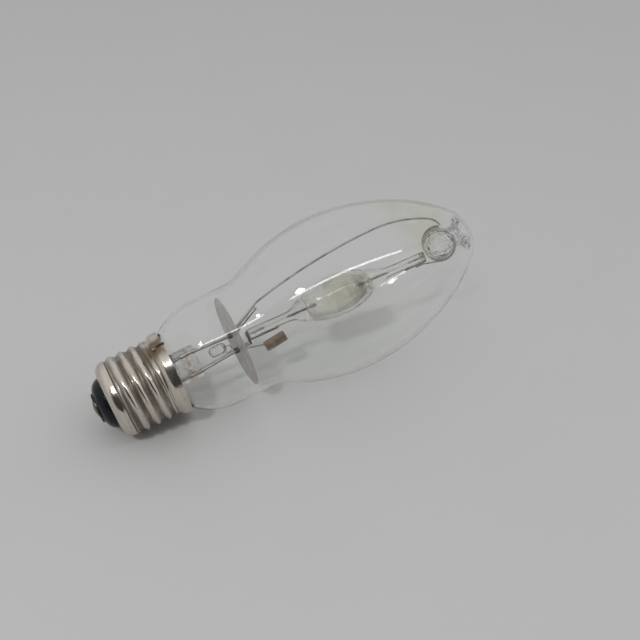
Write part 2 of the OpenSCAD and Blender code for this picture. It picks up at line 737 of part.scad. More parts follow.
// Steel strap across a seal's end, with one leg along the seal
module strap(leg, tab) {
    difference() {
        union() {
            translate([-tab, -strap_w / 2, -strap_t]) cube([tab + seal_t / 2 - 0.6, strap_w, strap_t]);
            translate([-strap_out, -strap_w / 2, -strap_t]) cube([strap_t, strap_w, leg + strap_t]);
        }
        translate([0, 0, -1]) cylinder(r = seal_wire_r, h = 2);
    }
}
module lower_strap() { color("#4a4845") tube_frame() strap(lower_leg, short_rod_in + tube_x + rod_r); }
module upper_strap() { color("#33312f") upper_end() strap(upper_leg, strap_out); }

// Places something at both ends of the arc tube
module both_ends() {
    children();
    translate([0, 0, tube_l]) mirror([0, 0, 1]) children();
}

// Egg-shaped solid of the body, grown by g and limited to a height
module body_egg(r, l) {
    rotate_extrude($fn = round_steps) polygon(concat(
        [for (i = [0:30]) [r * cos(6 * i - 90), body_mid + l / 2 * sin(6 * i - 90)]]));
}

module arc_tube() {
    color(clear_glass) tube_frame() difference() {
        union() {
            body_egg(body_r, body_l);
            both_ends() {
                translate([-seal_t / 2, -seal_w / 2, 0]) cube([seal_t, seal_w, seal_l]);
                translate([0, 0, seal_l - flare_l / 2])
                    cylinder(r1 = seal_t / 2, r2 = seal_t / 2 + flare_out, h = flare_l);
            }
        }
        body_egg(body_r - quartz_wall, cavity_l);
        both_ends() {
            translate([0, 0, -1]) cylinder(r = seal_wire_r, h = foil_in + 1);
            translate([-foil_t / 2, -foil_w / 2, foil_in]) cube([foil_t, foil_w, foil_l]);
            translate([0, 0, foil_in + foil_l]) cylinder(r = seal_wire_r, h = body_mid - foil_in - foil_l);
        }
    }
}

module arc_lead() {
    color(wire_grey) translate([0, 0, -strap_t - 0.6]) cylinder(r = seal_wire_r, h = foil_in + strap_t + 0.6);
}
module lower_arc_lead() { tube_frame() arc_lead(); }
module upper_arc_lead() { upper_end() arc_lead(); }

module foil() {
    color("#55524e") translate([-foil_t / 2, -foil_w / 2, foil_in]) cube([foil_t, foil_w, foil_l]);
}
module lower_foil() { tube_frame() foil(); }
module upper_foil() { upper_end() foil(); }

// Tungsten rod with its coil, from the foil to the tip
module electrode() {
    tip = foil_in + foil_l + electrode_l;
    color("#4b4a4c") {
        translate([0, 0, foil_in + foil_l]) cylinder(r = seal_wire_r, h = electrode_l);
        for (i = [1:coil_turns]) translate([0, 0, tip - 0.4 - i * coil_wire_d * 1.05])
            rotate_extrude() translate([seal_wire_r + 0.4 * coil_wire_d, 0]) circle(d = coil_wire_d);
    }
}
module lower_electrode() { tube_frame() electrode(); }
module upper_electrode() { upper_end() electrode(); }

module coating() {
    color("white") difference() {
        body_egg(body_r + coat_t, body_l);
        body_egg(body_r, body_l);
        cylinder(r = body_d, h = seal_l + flare_l / 2);
        translate([0, 0, seal_l + flare_l / 2 + coat_w]) cylinder(r = body_d, h = tube_l);
    }
}
module lower_coating() { tube_frame() coating(); }
module upper_coating() { upper_end() coating(); }

// Film of salts on the inside of the body, above its middle
module halide_salts() {
    color("#d8cf9c") tube_frame() difference() {
        body_egg(body_r - quartz_wall, cavity_l);
        body_egg(body_r - quartz_wall - salts_t, cavity_l);
        cylinder(r = body_d, h = body_mid - salts_low);
        translate([0, 0, body_mid - salts_low + salts_l]) cylinder(r = body_d, h = tube_l);
    }
}

contact_solder();
centre_contact();
insulator();
screw_shell();
base_cement();
side_lead();
side_weld();
centre_lead();
outer_bulb();
stem();
exhaust_tube();
long_rod();
short_rod();
shield_stop_long();
shield_stop_short();
heat_shield();
starting_capsule();
capsule_wire();
getter_wire();
getter_flag();
bow_wire();
dimple_loop();
link_wire();
lower_strap();
upper_strap();
arc_tube();
lower_arc_lead();
upper_arc_lead();
lower_foil();
upper_foil();
lower_electrode();
upper_electrode();
lower_coating();
upper_coating();
halide_salts();
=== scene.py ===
"""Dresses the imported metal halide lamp: glass, worn metal, wires, studio floor, light and camera.

All sizes of the object are millimetres on the lamp's own axis, where the centre contact is at
height 0 and the dome is up. lay(), mount() and tube() carry them to the lying lamp, and placed()
turns them into metres.
"""

from math import acos, asin, atan2, cos, degrees, pi, radians, sin, tan

import bmesh
import bpy
from bpy.props import FloatProperty, FloatVectorProperty, IntProperty, PointerProperty
from mathutils import Matrix, Vector, noise


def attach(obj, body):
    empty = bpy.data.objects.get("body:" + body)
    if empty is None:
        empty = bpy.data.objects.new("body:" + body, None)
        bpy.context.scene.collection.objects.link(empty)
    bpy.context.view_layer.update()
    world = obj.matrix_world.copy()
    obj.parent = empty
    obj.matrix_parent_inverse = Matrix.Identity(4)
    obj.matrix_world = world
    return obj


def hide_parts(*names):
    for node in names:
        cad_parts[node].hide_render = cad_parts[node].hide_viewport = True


bl_info = {
    "name": "Metal halide lamp dressing",
    "version": (1, 0, 0),
    "blender": (4, 5, 0),
    "location": "View3D > Sidebar > Lamp",
    "description": "Builds the glass, cap, mount and studio of a clear metal halide lamp",
    "category": "Object",
}

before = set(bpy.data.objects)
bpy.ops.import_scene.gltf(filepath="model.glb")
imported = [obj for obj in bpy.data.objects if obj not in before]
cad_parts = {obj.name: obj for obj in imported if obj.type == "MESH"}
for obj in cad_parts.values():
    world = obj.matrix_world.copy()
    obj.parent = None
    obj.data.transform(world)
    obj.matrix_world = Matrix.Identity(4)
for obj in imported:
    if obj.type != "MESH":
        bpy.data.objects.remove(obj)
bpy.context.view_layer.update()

MM = 0.001
TURN = 2 * pi


# Sizes and colours that a user would change


def length(name, text, default, low=0.0):
    """A size in millimetres on the lamp."""
    return FloatProperty(name=name, description=text, default=default, min=low, subtype="NONE")


def colour(name, text, default):
    return FloatVectorProperty(
        name=name, description=text, default=default, size=3, min=0, max=1, subtype="COLOR"
    )


class CapSizes(bpy.types.PropertyGroup):
    thread_d: length("Thread diameter", "Over the thread crests", 26.3)
    pitch: length("Thread pitch", "Rise of the rolled thread in one turn", 3.629)
    depth: length("Thread depth", "From crest to root", 1.0)
    start: length("Thread start", "Height of the lowest crest on the upper side", 11.1)
    height: length("Cap height", "From the contact to the rim", 27.0)
    skirt_d: length("Skirt diameter", "Outside the rim", 28.2)
    skirt_h: length("Skirt height", "Length of the plain skirt", 3.9)
    wall: length("Sheet thickness", "Metal of the shell", 0.3)
    end_z: length("End height", "Closed end above the contact", 5.0)
    end_round: length("End radius", "Rounded end turn", 3.2)
    hole_d: length("End hole", "Hole round the insulator", 17.2)
    tip_d: length("Insulator tip", "Small end of the insulator", 10.6)
    contact_d: length("Contact diameter", "Centre contact plate", 9.6)
    solder_d: length("Solder diameter", "Drop on the contact", 6.4)
    solder_h: length("Solder height", "Drop on the contact", 0.9)
    weld_turn: FloatProperty(
        name="Weld angle", description="From the leads' plane to the weld", default=49.0
    )


class GlassSizes(bpy.types.PropertyGroup):
    length: length("Lamp length", "From contact to dome", 138.0)
    bulb_d: length("Bulb diameter", "Largest diameter", 54.0)
    bulb_z: length("Widest height", "Height of the widest circle", 88.0)
    neck_d: length("Neck diameter", "Above the cap", 36.3)
    neck_z: length("Neck height", "Where the neck is full width", 41.4)
    shoulder_r: length("Shoulder radius", "Between cap and neck", 22.0)
    waist_r: length("Waist radius", "Hollow curve between neck and bulb", 20.0)
    side_r: length("Side radius", "Side below the widest circle", 62.0)
    dome_r: length("Dome radius", "Round end", 14.0)
    wall: length("Glass thickness", "Bulb wall", 0.9)
    tube_d: length("Neck tube", "Glass tube inside the cap", 21.2)
    tube_z: length("Neck tube end", "Height of its end", 12.6)
    blend_r: length("Blend radius", "Between tube and shoulder", 4.0)
    dimple_d: length("Dimple ball", "Outer diameter seen from inside", 11.2)
    throat_d: length("Dimple throat", "Outer diameter", 7.8)
    dimple_z: length("Dimple height", "Middle of the ball", 127.3)
    lip_r: length("Dimple lip", "Radius of the round lip", 1.8)
    stem_d: length("Stem diameter", "Outer diameter of the stem tube", 11.0)
    stem_wall: length("Stem wall", "Glass of the stem", 1.0)
    press_z: length("Press foot", "Where the stem tube closes", 24.0)
    press_top: length("Press top", "End of the press", 35.5)
    press_w: length("Press width", "Across the leads", 10.8)
    press_t: length("Press thickness", "Along the view", 4.4)
    exhaust_d: length("Exhaust tube", "Outer diameter", 4.0)
    exhaust_z: length("Exhaust tip", "Height of its tip", 9.6)


class MountSizes(bpy.types.PropertyGroup):
    turn: FloatProperty(
        name="Mount angle", description="From the top round to the leads' plane", default=-43.0
    )
    rod_d: length("Rod diameter", "Support rods", 1.2)
    lead_d: length("Lead diameter", "Leads in the cap", 0.5)
    thin_d: length("Thin wire", "Getter and capsule wires", 0.5)
    bow_d: length("Bow wire", "Return wire beside the arc tube", 0.7)
    loop_d: length("Loop wire", "Loop round the dimple", 0.8)
    shield_d: length("Heat shield", "Mica disc", 31.0)
    shield_z: length("Shield height", "Middle of the disc", 48.9)
    shield_t: length("Shield thickness", "Mica", 0.35)
    tube_l: length("Arc tube length", "Over both seals", 66.2)
    seal_w: length("Seal width", "Flat seals", 7.4)
    seal_t: length("Seal thickness", "Flat seals", 3.4)
    body_d: length("Body diameter", "Arc tube's round body", 14.0)
    body_l: length("Body length", "Arc tube's round body", 29.0)
    quartz: length("Quartz wall", "Arc tube wall", 1.1)


class Finishes(bpy.types.PropertyGroup):
    nickel: colour("Cap metal", "Clean nickel-plated sheet", (0.68, 0.63, 0.56))
    # Tarnish colour, also used for painted shade in the thread roots and the crease above the end
    # turn
    tarnish_and_shade: colour("Tarnish", "Dull film in the thread roots", (0.085, 0.066, 0.05))
    black_glass: colour("Insulator", "Black glass", (0.006, 0.008, 0.013))
    wire: colour("Wire", "Nickel-plated iron wire", (0.40, 0.39, 0.375))
    strap: colour("Strap", "Oxidised steel strap", (0.085, 0.083, 0.085))
    mica: colour("Mica", "Heat shield", (0.50, 0.445, 0.425))
    getter: colour("Getter", "Fired getter flag", (0.10, 0.066, 0.047))
    salts: colour("Salts", "Film on the arc tube's wall", (0.70, 0.67, 0.50))
    coating: colour("Coating", "White heat coating", (0.80, 0.79, 0.74))
    floor: colour("Floor", "Studio floor", (0.535, 0.535, 0.535))


class StudioSizes(bpy.types.PropertyGroup):
    lens: FloatProperty(name="Lens", description="Focal length", default=45.0, unit="CAMERA")
    pitch: FloatProperty(
        name="Camera pitch", description="Downward look", default=radians(38.7), subtype="ANGLE"
    )
    azimuth: FloatProperty(
        name="Lamp azimuth",
        description="Lamp axis away from the picture's right",
        default=radians(27.3),
        subtype="ANGLE",
    )
    world: FloatProperty(name="World level", description="Light of the room", default=0.70)
    backdrop: FloatProperty(name="Backdrop", description="Tone behind the floor", default=0.42)
    key: FloatProperty(name="Key light", description="Lamp at the left", default=3.6, unit="POWER")
    strip: FloatProperty(name="Strip", description="Long strip above", default=1.3, unit="POWER")
    facets: IntProperty(name="Round steps", description="Steps round a lathe", default=160)


SIZES = {
    "lamp_cap": CapSizes,
    "lamp_glass": GlassSizes,
    "lamp_mount": MountSizes,
    "lamp_finish": Finishes,
    "lamp_studio": StudioSizes,
}


def sizes(name):
    return getattr(bpy.context.scene, name)


# Places: the lying lamp, its mount and its arc tube, as part.scad sets them

TILT = 10.7603  # of the lamp's axis above the floor, in degrees
BACK, LIFT = -68.196, 11.1855  # of the centre contact
TUBE_X, TUBE_Z, TUBE_LEAN = 0.3, 53.4, 1.7  # foot of the arc tube and its lean
LONG_X, SHORT_X = 3.1, -3.6  # the two leads and rods in the press
LONG_NECK, SHORT_NECK = 2.4, -2.4  # the rods at their upper ends
NECK_Z, SHORT_TOP = 50.2, TUBE_Z - 0.55
KNEE_X, KNEE_Z, KNEE_SLOPE = 3.5, 51.7, 25  # the long rod's last bend
LOOP_LEAN = 38  # of the loop round the dimple
SLIP = 0.05  # gap between wires and what they lie on
STRAP_T, STRAP_W = 0.4, 3.0  # steel strips on the seals


def turned(angle, axis):
    return Matrix.Rotation(radians(angle), 4, axis)


def lay():
    return Matrix.Translation((BACK, 0, LIFT)) @ turned(90 - TILT, "Y") @ turned(180, "Z")


def mount():
    return lay() @ turned(sizes("lamp_mount").turn, "Z")


def tube():
    return mount() @ Matrix.Translation((TUBE_X, 0, TUBE_Z)) @ turned(-TUBE_LEAN, "Y")


def upper_end():
    flip = Matrix.Translation((0, 0, sizes("lamp_mount").tube_l)) @ Matrix.Scale(-1, 4, (0, 0, 1))
    return tube() @ flip


def tube_middle():
    """Height of the arc tube's middle on the lamp's axis."""
    return TUBE_Z + sizes("lamp_mount").tube_l / 2


# Shader trees


class Socket:
    """A number in a material; arithmetic on it adds Math nodes."""

    def __init__(self, finish, socket):
        self.finish, self.socket = finish, socket

    def _with(self, operation, *values):
        node = self.finish.node("ShaderNodeMath", {"operation": operation}, *values)
        return Socket(self.finish, node.outputs[0])

    def __add__(self, other):
        return self._with("ADD", self, other)

    def __sub__(self, other):
        return self._with("SUBTRACT", self, other)

    def __rsub__(self, other):
        return self._with("SUBTRACT", other, self)

    def __mul__(self, other):
        return self._with("MULTIPLY", self, other)

    def __pow__(self, other):
        return self._with("POWER", self, other)

    __radd__, __rmul__ = __add__, __mul__

    def most(self, other):
        return self._with("MAXIMUM", self, other)

    def least(self, other):
        return self._with("MINIMUM", self, other)

    def size(self):
        return self._with("ABSOLUTE", self)

    def wave(self):
        return self._with("SINE", self)

    def step(self, low, high, a=0.0, b=1.0):
        """Goes smoothly from a to b as the number goes from low to high."""
        node = self.finish.node(
            "ShaderNodeMapRange", {"interpolation_type": "SMOOTHSTEP"}, self, low, high, a, b
        )
        return Socket(self.finish, node.outputs[0])


class Finish:
    """One procedural material, on Object coordinates turned to the lamp's own axis."""

    @classmethod
    def over(cls, tree):
        """The same arithmetic in a tree that exists, such as the world's."""
        made = cls.__new__(cls)
        made.tree = tree
        return made

    def __init__(self, name):
        self.material = bpy.data.materials.new(name)
        self.material.use_nodes = True
        self.tree = self.material.node_tree
        self.tree.nodes.clear()
        back = lay_metres().inverted()
        coords = self.node("ShaderNodeTexCoord")
        self.place = self.node(
            "ShaderNodeMapping",
            {},
            coords.outputs["Object"],
            tuple(back.to_translation()),
            tuple(back.to_euler()),
        ).outputs[0]

    def node(self, kind, settings=None, *values, **named):
        """A node with its settings, and with values or links for its sockets."""
        made = self.tree.nodes.new(kind)
        for key, value in (settings or {}).items():
            setattr(made, key, value)
        pairs = [(made.inputs[i], v) for i, v in enumerate(values) if v is not None]
        pairs += [(made.inputs[k.replace("_", " ")], v) for k, v in named.items()]
        for socket, value in pairs:
            self.feed(socket, value)
        return made

    def feed(self, socket, value):
        """Links a socket to what gives its value, or sets it."""
        if isinstance(value, Socket):
            value = value.socket
        if isinstance(value, bpy.types.NodeSocket):
            self.tree.links.new(value, socket)
        elif socket.type == "RGBA" and len(value) == 3:
            socket.default_value = (*value, 1)
        else:
            socket.default_value = value

    def noise(self, size, detail=4.0, stretch=(1, 1, 1), rough=0.55):
        """Noise with features of a size in millimetres, longer where stretch is above 1."""
        scaled = self.node(
            "ShaderNodeVectorMath",
            {"operation": "MULTIPLY"},
            self.place,
            tuple(1 / (size * MM * s) for s in stretch),
        )
        made = self.node("ShaderNodeTexNoise", Scale=1.0, Detail=detail, Roughness=rough)
        self.tree.links.new(scaled.outputs[0], made.inputs["Vector"])
        return Socket(self, made.outputs[0])

    def cells(self, size):
        """Distance from the middle of the nearest cell, for cells of a size in millimetres."""
        scaled = self.node(
            "ShaderNodeVectorMath", {"operation": "SCALE"}, self.place, Scale=1 / (size * MM)
        )
        made = self.node("ShaderNodeTexVoronoi", {}, Vector=scaled.outputs[0], Scale=1.0)
        return Socket(self, made.outputs[0])

    def axes(self):
        """Distance across, across and along the lamp's axis, in metres."""
        split = self.node("ShaderNodeSeparateXYZ", {}, self.place)
        return [Socket(self, out) for out in split.outputs]

    def radius(self):
        x, y, _ = self.axes()
        return (x * x + y * y) ** 0.5

    def blend(self, factor, a, b):
        """Colour that goes from a to b with the factor."""
        made = self.node("ShaderNodeMix", {"data_type": "RGBA"})
        for place, value in zip((0, 6, 7), (factor, a, b)):
            self.feed(made.inputs[place], value)
        return made.outputs[2]

    def bump(self, height, distance, strength=1.0):
        """Relief of a depth in millimetres."""
        return self.node(
            "ShaderNodeBump", {}, Strength=strength, Distance=distance * MM, Height=height
        ).outputs[0]

    def ends_in(self, shader):
        out = self.node("ShaderNodeOutputMaterial")
        self.tree.links.new(shader, out.inputs[0])
        return self.material

    def paint(self, **named):
        """The material with one opaque or thin surface."""
        return self.ends_in(self.node("ShaderNodeBsdfPrincipled", {}, **named).outputs[0])

    def glass(self, **named):
        """The material of clear glass, which lets lamps shine through."""
        glass = self.node("ShaderNodeBsdfPrincipled", {}, **named, Transmission_Weight=1.0)
        path = self.node("ShaderNodeLightPath")
        open_air = self.node("ShaderNodeBsdfTransparent", {}, (0.98, 0.985, 0.98, 1))
        open_way = Socket(self, path.outputs["Is Shadow Ray"]).most(path.outputs["Is Diffuse Ray"])
        mixed = self.node(
            "ShaderNodeMixShader", {}, open_way, glass.outputs[0], open_air.outputs[0]
        )
        return self.ends_in(mixed.outputs[0])


def lay_metres():
    """The lay() frame with its shift in metres, for patterns on Object coordinates."""
    place = lay()
    place.translation = place.translation * MM
    return place


PAINTERS, MADE = {}, {}


def painted(painter):
    """Lists the function of a material under its own name."""
    PAINTERS[painter.__name__] = painter
    return painter


def material(name):
    """The finish of that name, made the first time it is asked for."""
    if name not in MADE:
        MADE[name] = PAINTERS[name](Finish(name), sizes("lamp_finish"))
    return MADE[name]


@painted
def worn_nickel(f, look):
    cap = sizes("lamp_cap")
    crest, root = cap.thread_d / 2 * MM, (cap.thread_d / 2 - cap.depth) * MM
    low = f.radius().step(root, crest, 1.0, 0.0)
    along = f.axes()[2]
    cloud = f.noise(5.0, 6)
    fine = f.noise(0.5, 5)
    rubbed = f.noise(1.2, 4, (7, 7, 0.35))
    in_thread = along.step((cap.end_z + 3) * MM, (cap.end_z + 5) * MM) * along.step(
        (cap.height - cap.skirt_h) * MM, (cap.height - cap.skirt_h + 1.2) * MM, 1.0, 0.15
    )
    # Thread roots painted darker: partly tarnish, partly painted shade
    deep = low.step(0.45, 0.95)
    root_tarnish_and_shade = (deep * in_thread * cloud.step(0.2, 0.6, 0.55, 1.0)).least(1.0)
    spots = f.cells(2.6).step(0.0, 0.16, 1.0, 0.0) * cloud.step(0.5, 0.62)
    line = f.noise(0.9, 3, (12, 12, 0.36)).step(0.48, 0.56) * low.step(0.0, 0.35) * in_thread
    # Painted shade: a thin dark line along the crease just above the end turn
    crease = (along - (cap.end_z + cap.end_round + 0.75) * MM).size()
    crease = crease.step(0.1 * MM, 0.34 * MM, 1.0, 0.0)
    dull_and_shade = (root_tarnish_and_shade * 0.9).most(spots * 0.8).most(cloud.step(0.52, 0.8, 0.0, 0.45)).most(line * 0.8)
    dull_and_shade = dull_and_shade.most(crease * 0.95)
    base = f.blend(rubbed.step(0.35, 0.7, 0.0, 0.4), look.nickel, (0.46, 0.41, 0.345))
    shade = f.blend(dull_and_shade, base, look.tarnish_and_shade)
    x, y, _ = f.axes()
    side = radians(cap.weld_turn + sizes("lamp_mount").turn)
    weld = (cap.skirt_d / 2 * MM * cos(side), cap.skirt_d / 2 * MM * sin(side))
    weld_z = (cap.height - cap.skirt_h + 1) * MM
    apart = ((x - weld[0]) * (x - weld[0]) + (y - weld[1]) * (y - weld[1])) ** 0.5
    apart = apart.most((along - weld_z).size()) + (cloud - 0.5) * (4 * MM)
    flux = apart.step(1.6 * MM, 5.2 * MM, 0.95, 0.0)
    shade = f.blend(flux, shade, (0.15, 0.105, 0.06))
    dull_and_shade = dull_and_shade.most(flux * 0.8)
    rough = (dull_and_shade * 0.26 + rubbed * 0.09 + fine * 0.05 + 0.09).least(0.62)
    relief = rubbed * 0.5 + fine * 0.25 + cloud * 1.2
    return f.paint(
        Base_Color=shade, Metallic=1.0 - dull_and_shade * 0.35, Roughness=rough, Normal=f.bump(relief, 0.06)
    )


@painted
def black_glass(f, look):
    dust = f.noise(0.35, 5).step(0.56, 0.72) * f.noise(3.0, 3).step(0.42, 0.66)
    smear = f.noise(2.2, 4, (1, 1, 3))
    return f.paint(
        Base_Color=f.blend(dust * 0.2, look.black_glass, (0.28, 0.25, 0.21)),
        Roughness=(smear * 0.16 + dust * 0.35 + 0.12),
        Specular_IOR_Level=0.2,
        Normal=f.bump(smear + f.noise(0.8, 3) * 0.25, 0.05),
        IOR=1.52,
    )


@painted
def contact_metal(f, look):
    ring = (f.radius() * (TURN / (0.45 * MM))).wave()
    stain = f.noise(1.6, 5)
    return f.paint(
        Base_Color=f.blend(stain.step(0.36, 0.6), (0.12, 0.10, 0.07), (0.035, 0.03, 0.026)),
        Metallic=1.0,
        Roughness=stain * 0.35 + 0.22,
        Normal=f.bump(ring * 0.06 + stain, 0.05),
    )


@painted
def solder(f, look):
    lump = f.noise(0.9, 4)
    grey = f.noise(0.3, 4)
    return f.paint(
        Base_Color=f.blend(grey.step(0.4, 0.7), (0.22, 0.21, 0.20), (0.08, 0.075, 0.07)),
        Metallic=1.0,
        Roughness=grey * 0.3 + 0.2,
        Normal=f.bump(lump + grey * 0.2, 0.09),
    )


@painted
def wire_metal(f, look):
    stain = f.noise(3.0, 5)
    drawn = f.noise(0.16, 3, (1, 1, 22))
    return f.paint(
        Base_Color=f.blend(stain.step(0.42, 0.72), look.wire, (0.19, 0.178, 0.16)),
        Metallic=1.0,
        Roughness=stain * 0.22 + drawn * 0.12 + 0.16,
        Normal=f.bump(drawn, 0.012),
    )


@painted
def strap_steel(f, look):
    heat = f.noise(2.2, 4)
    grain = f.noise(0.18, 4, (1, 1, 5))
    bloom = f.blend(heat.step(0.4, 0.66), look.strap, (0.16, 0.13, 0.10))
    return f.paint(
        Base_Color=f.blend(grain.step(0.62, 0.78, 0.0, 0.55), bloom, (0.34, 0.33, 0.32)),
        Metallic=1.0,
        Roughness=heat * 0.25 + grain * 0.15 + 0.2,
        Normal=f.bump(grain, 0.015),
    )


@painted
def clear_glass(f, look):
    ripple = f.noise(14.0, 2, (1, 1, 2.5))
    haze = f.noise(6.0, 5).step(0.5, 0.8) * f.noise(0.5, 4).step(0.5, 0.7)
    glass = sizes("lamp_glass")
    up, _, along = f.axes()
    # Painted reflection: a yellowish tint on the upper side of the bulb near the dome
    tinted_patch = along.step(104 * MM, 114 * MM) * along.step(126 * MM, 132 * MM, 1.0, 0.0)
    tinted_patch = tinted_patch * up.step(9 * MM, 18 * MM) * f.noise(7.0, 3).step(0.3, 0.6)
    blob = along.step((glass.dimple_z - 8) * MM, (glass.dimple_z - 4) * MM)
    ball_r = glass.dimple_d / 2
    blob = blob * f.radius().step(ball_r * MM, (ball_r + 1.5) * MM, 1.0, 0.0)
    return f.glass(
        Base_Color=f.blend(tinted_patch * 0.8, (0.988, 0.993, 0.987), (0.90, 0.895, 0.76)),
        Roughness=haze * 0.02,
        IOR=1.47,
        Normal=f.bump(ripple * 0.06 + blob * f.noise(2.0, 2) * 0.9, 1.0),
    )


@painted
def stem_glass(f, look):
    seed = f.noise(1.3, 3)
    height = f.axes()[2]
    amber = height.step(30.0 * MM, 31.2 * MM) * height.step(33.0 * MM, 34.2 * MM, 1.0, 0.0)
    amber = amber * f.noise(1.4, 4).step(0.42, 0.56)
    return f.glass(
        Base_Color=f.blend(amber * 0.9, (0.985, 0.99, 0.985), (0.60, 0.47, 0.32)),
        Roughness=amber * 0.2,
        IOR=1.5,
        Normal=f.bump(seed, 0.5),
    )


@painted
def quartz(f, look):
    ripple = f.noise(3.2, 3)
    amber = f.noise(7.0, 3).step(0.35, 0.65)
    seal = (f.axes()[2] - tube_middle() * MM).size().step(15 * MM, 18 * MM)
    return f.glass(
        Base_Color=f.blend(amber * 0.6, (0.992, 0.99, 0.98), (0.985, 0.97, 0.90)),
        Roughness=ripple.step(0.45, 0.75, 0.0, 0.06),
        IOR=1.46,
        Normal=f.bump(ripple * 0.12 + seal * f.noise(1.1, 2) * 0.3, 1.0),
    )


@painted
def mica(f, look):
    flake = f.cells(2.4)
    sheet = f.noise(4.0, 6)
    edge = f.radius().step(14.6 * MM, 15.5 * MM)
    tone = f.blend(sheet.step(0.34, 0.68), look.mica, (0.57, 0.52, 0.50))
    tone = f.blend(edge * 0.6, tone, (0.30, 0.255, 0.24))
    return f.paint(
        Base_Color=tone,
        Roughness=sheet * 0.2 + 0.35,
        Coat_Weight=flake.step(0.1, 0.7, 0.25, 0.05),
        Alpha=(edge * 0.14 + sheet.step(0.35, 0.7, 0.58, 0.72)).least(0.97),
        Normal=f.bump(sheet + flake * 0.3, 0.02),
    )


@painted
def getter_brown(f, look):
    crust = f.noise(0.5, 6)
    stain = f.noise(2.4, 3)
    return f.paint(
        Base_Color=f.blend(stain.step(0.36, 0.66), look.getter, (0.18, 0.125, 0.09)),
        Metallic=0.35,
        Roughness=crust * 0.3 + 0.42,
        Normal=f.bump(crust, 0.06),
    )


@painted
def foil_metal(f, look):
    crease = f.noise(0.5, 4, (1, 1, 4))
    return f.paint(
        Base_Color=f.blend(crease.step(0.4, 0.7), (0.30, 0.285, 0.27), (0.09, 0.085, 0.08)),
        Metallic=1.0,
        Roughness=crease * 0.25 + 0.24,
        Normal=f.bump(crease, 0.03),
    )


@painted
def tungsten(f, look):
    soot = f.noise(0.5, 5)
    return f.paint(
        Base_Color=f.blend(soot.step(0.4, 0.65), (0.24, 0.235, 0.235), (0.07, 0.068, 0.07)),
        Metallic=0.9,
        Roughness=soot * 0.25 + 0.32,
        Normal=f.bump(soot, 0.02),
    )


@painted
def white_coating(f, look):
    patch = f.noise(2.4, 5)
    grain = f.noise(0.22, 5)
    middle = tube_middle()
    along = f.axes()[2]
    reach = ((along - middle * MM).size() + (patch - 0.5) * (5.0 * MM)).step(7.4 * MM, 9.4 * MM)
    return f.paint(
        Base_Color=f.blend(patch.step(0.35, 0.7, 0.0, 0.7), look.coating, (0.74, 0.66, 0.50)),
        Roughness=0.7,
        Alpha=reach * patch.step(0.3, 0.65, 0.03, 0.16),
        Normal=f.bump(grain + patch, 0.06),
    )


@painted
def salt_film(f, look):
    pool = f.noise(5.0, 5)
    grain = f.noise(0.5, 5)
    return f.paint(
        Base_Color=f.blend(pool.step(0.38, 0.62), look.salts, (0.64, 0.58, 0.36)),
        Roughness=grain * 0.3 + 0.35,
        Alpha=pool.step(0.32, 0.68, 0.03, 0.20),
        Normal=f.bump(grain + pool, 0.06),
    )


@painted
def cement(f, look):
    grain = f.noise(0.4, 6)
    return f.paint(
        Base_Color=f.blend(grain.step(0.35, 0.65), (0.50, 0.44, 0.34), (0.33, 0.28, 0.21)),
        Roughness=0.9,
        Normal=f.bump(grain, 0.15),
    )


@painted
def floor_paint(f, look):
    darker = tuple(c * 0.985 for c in look.floor)
    return f.paint(
        Base_Color=f.blend(f.noise(40.0, 3).step(0.2, 0.8), look.floor, darker), Roughness=0.75
    )


# Mesh making


def placed(points, place):
    """Points in millimetres in a frame, as points of the object in metres."""
    return [(place @ Vector(p)) * MM for p in points]


def as_mesh(made):
    mesh = bpy.data.meshes.new("made")
    made.to_mesh(mesh)
    made.free()
    return mesh


def add_piece(name, mesh, finish, smooth=40):
    """An object at the origin with its mesh in place and one material."""
    mesh.name = name
    mesh.polygons.foreach_set("use_smooth", [True] * len(mesh.polygons))
    mesh.set_sharp_from_angle(angle=radians(smooth))
    mesh.materials.clear()
    mesh.materials.append(material(finish))
    piece = bpy.data.objects.new(name, mesh)
    bpy.context.scene.collection.objects.link(piece)
    return piece


def shown(piece, node):
    """Lets a piece ride on the lamp's one body and stand for a CAD node."""
    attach(piece, "root")
    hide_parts(node)


def skin(name, rings, place, finish, inside_out=False, smooth=40):
    """Skin over rings of points, seen from outside where they climb.

    A ring of one point closes an end, and the first ring may come again as the last.
    """
    made = bmesh.new()
    loops = [[made.verts.new(p) for p in placed(ring, place)] for ring in rings[:-1]]
    last = rings[-1]
    loops.append(loops[0] if last is rings[0] else [made.verts.new(p) for p in placed(last, place)])
    flip = inside_out != (place.to_3x3().determinant() < 0)
    for a, b in zip(loops, loops[1:]):
        n = max(len(a), len(b))
        if n == 1:
            continue
        for i in range(n):
            k = (i + 1) % n
            corners = [a[i % len(a)], b[i % len(b)], b[k % len(b)], a[k % len(a)]]
            corners = [v for j, v in enumerate(corners) if v not in corners[:j]]
            made.faces.new(corners if flip else corners[::-1])
    return add_piece(name, as_mesh(made), finish, smooth)


def ring(radius, z, n):
    """Circle of points, or its middle alone where the radius is nothing."""
    if radius < 1e-6:
        return [(0, 0, z)]
    return [(radius * cos(TURN * i / n), radius * sin(TURN * i / n), z) for i in range(n)]


def lathe(name, outline, finish, place=None, n=None, smooth=40):
    """Turned piece; the outline runs so that the material lies on its left."""
    n = n or sizes("lamp_studio").facets
    rings = [ring(r, z, n) for r, z in outline]
    if outline[0][0] > 1e-6 and outline[-1] != outline[0]:
        rings.append(rings[0])
    return skin(name, rings, place or lay(), finish, smooth=smooth)


def arc(centre, radius, start, end, n):
    return [
        (centre[0] + radius * cos(a), centre[1] + radius * sin(a))
        for a in (radians(start + (end - start) * i / n) for i in range(n + 1))
    ]


def joined(first, *others):
    """The first piece with the meshes of others added to its own."""
    made = bmesh.new()
    for piece in (first, *others):
        made.from_mesh(piece.data)
    made.to_mesh(first.data)
    made.free()
    for piece in others:
        bpy.data.objects.remove(piece)
    return first


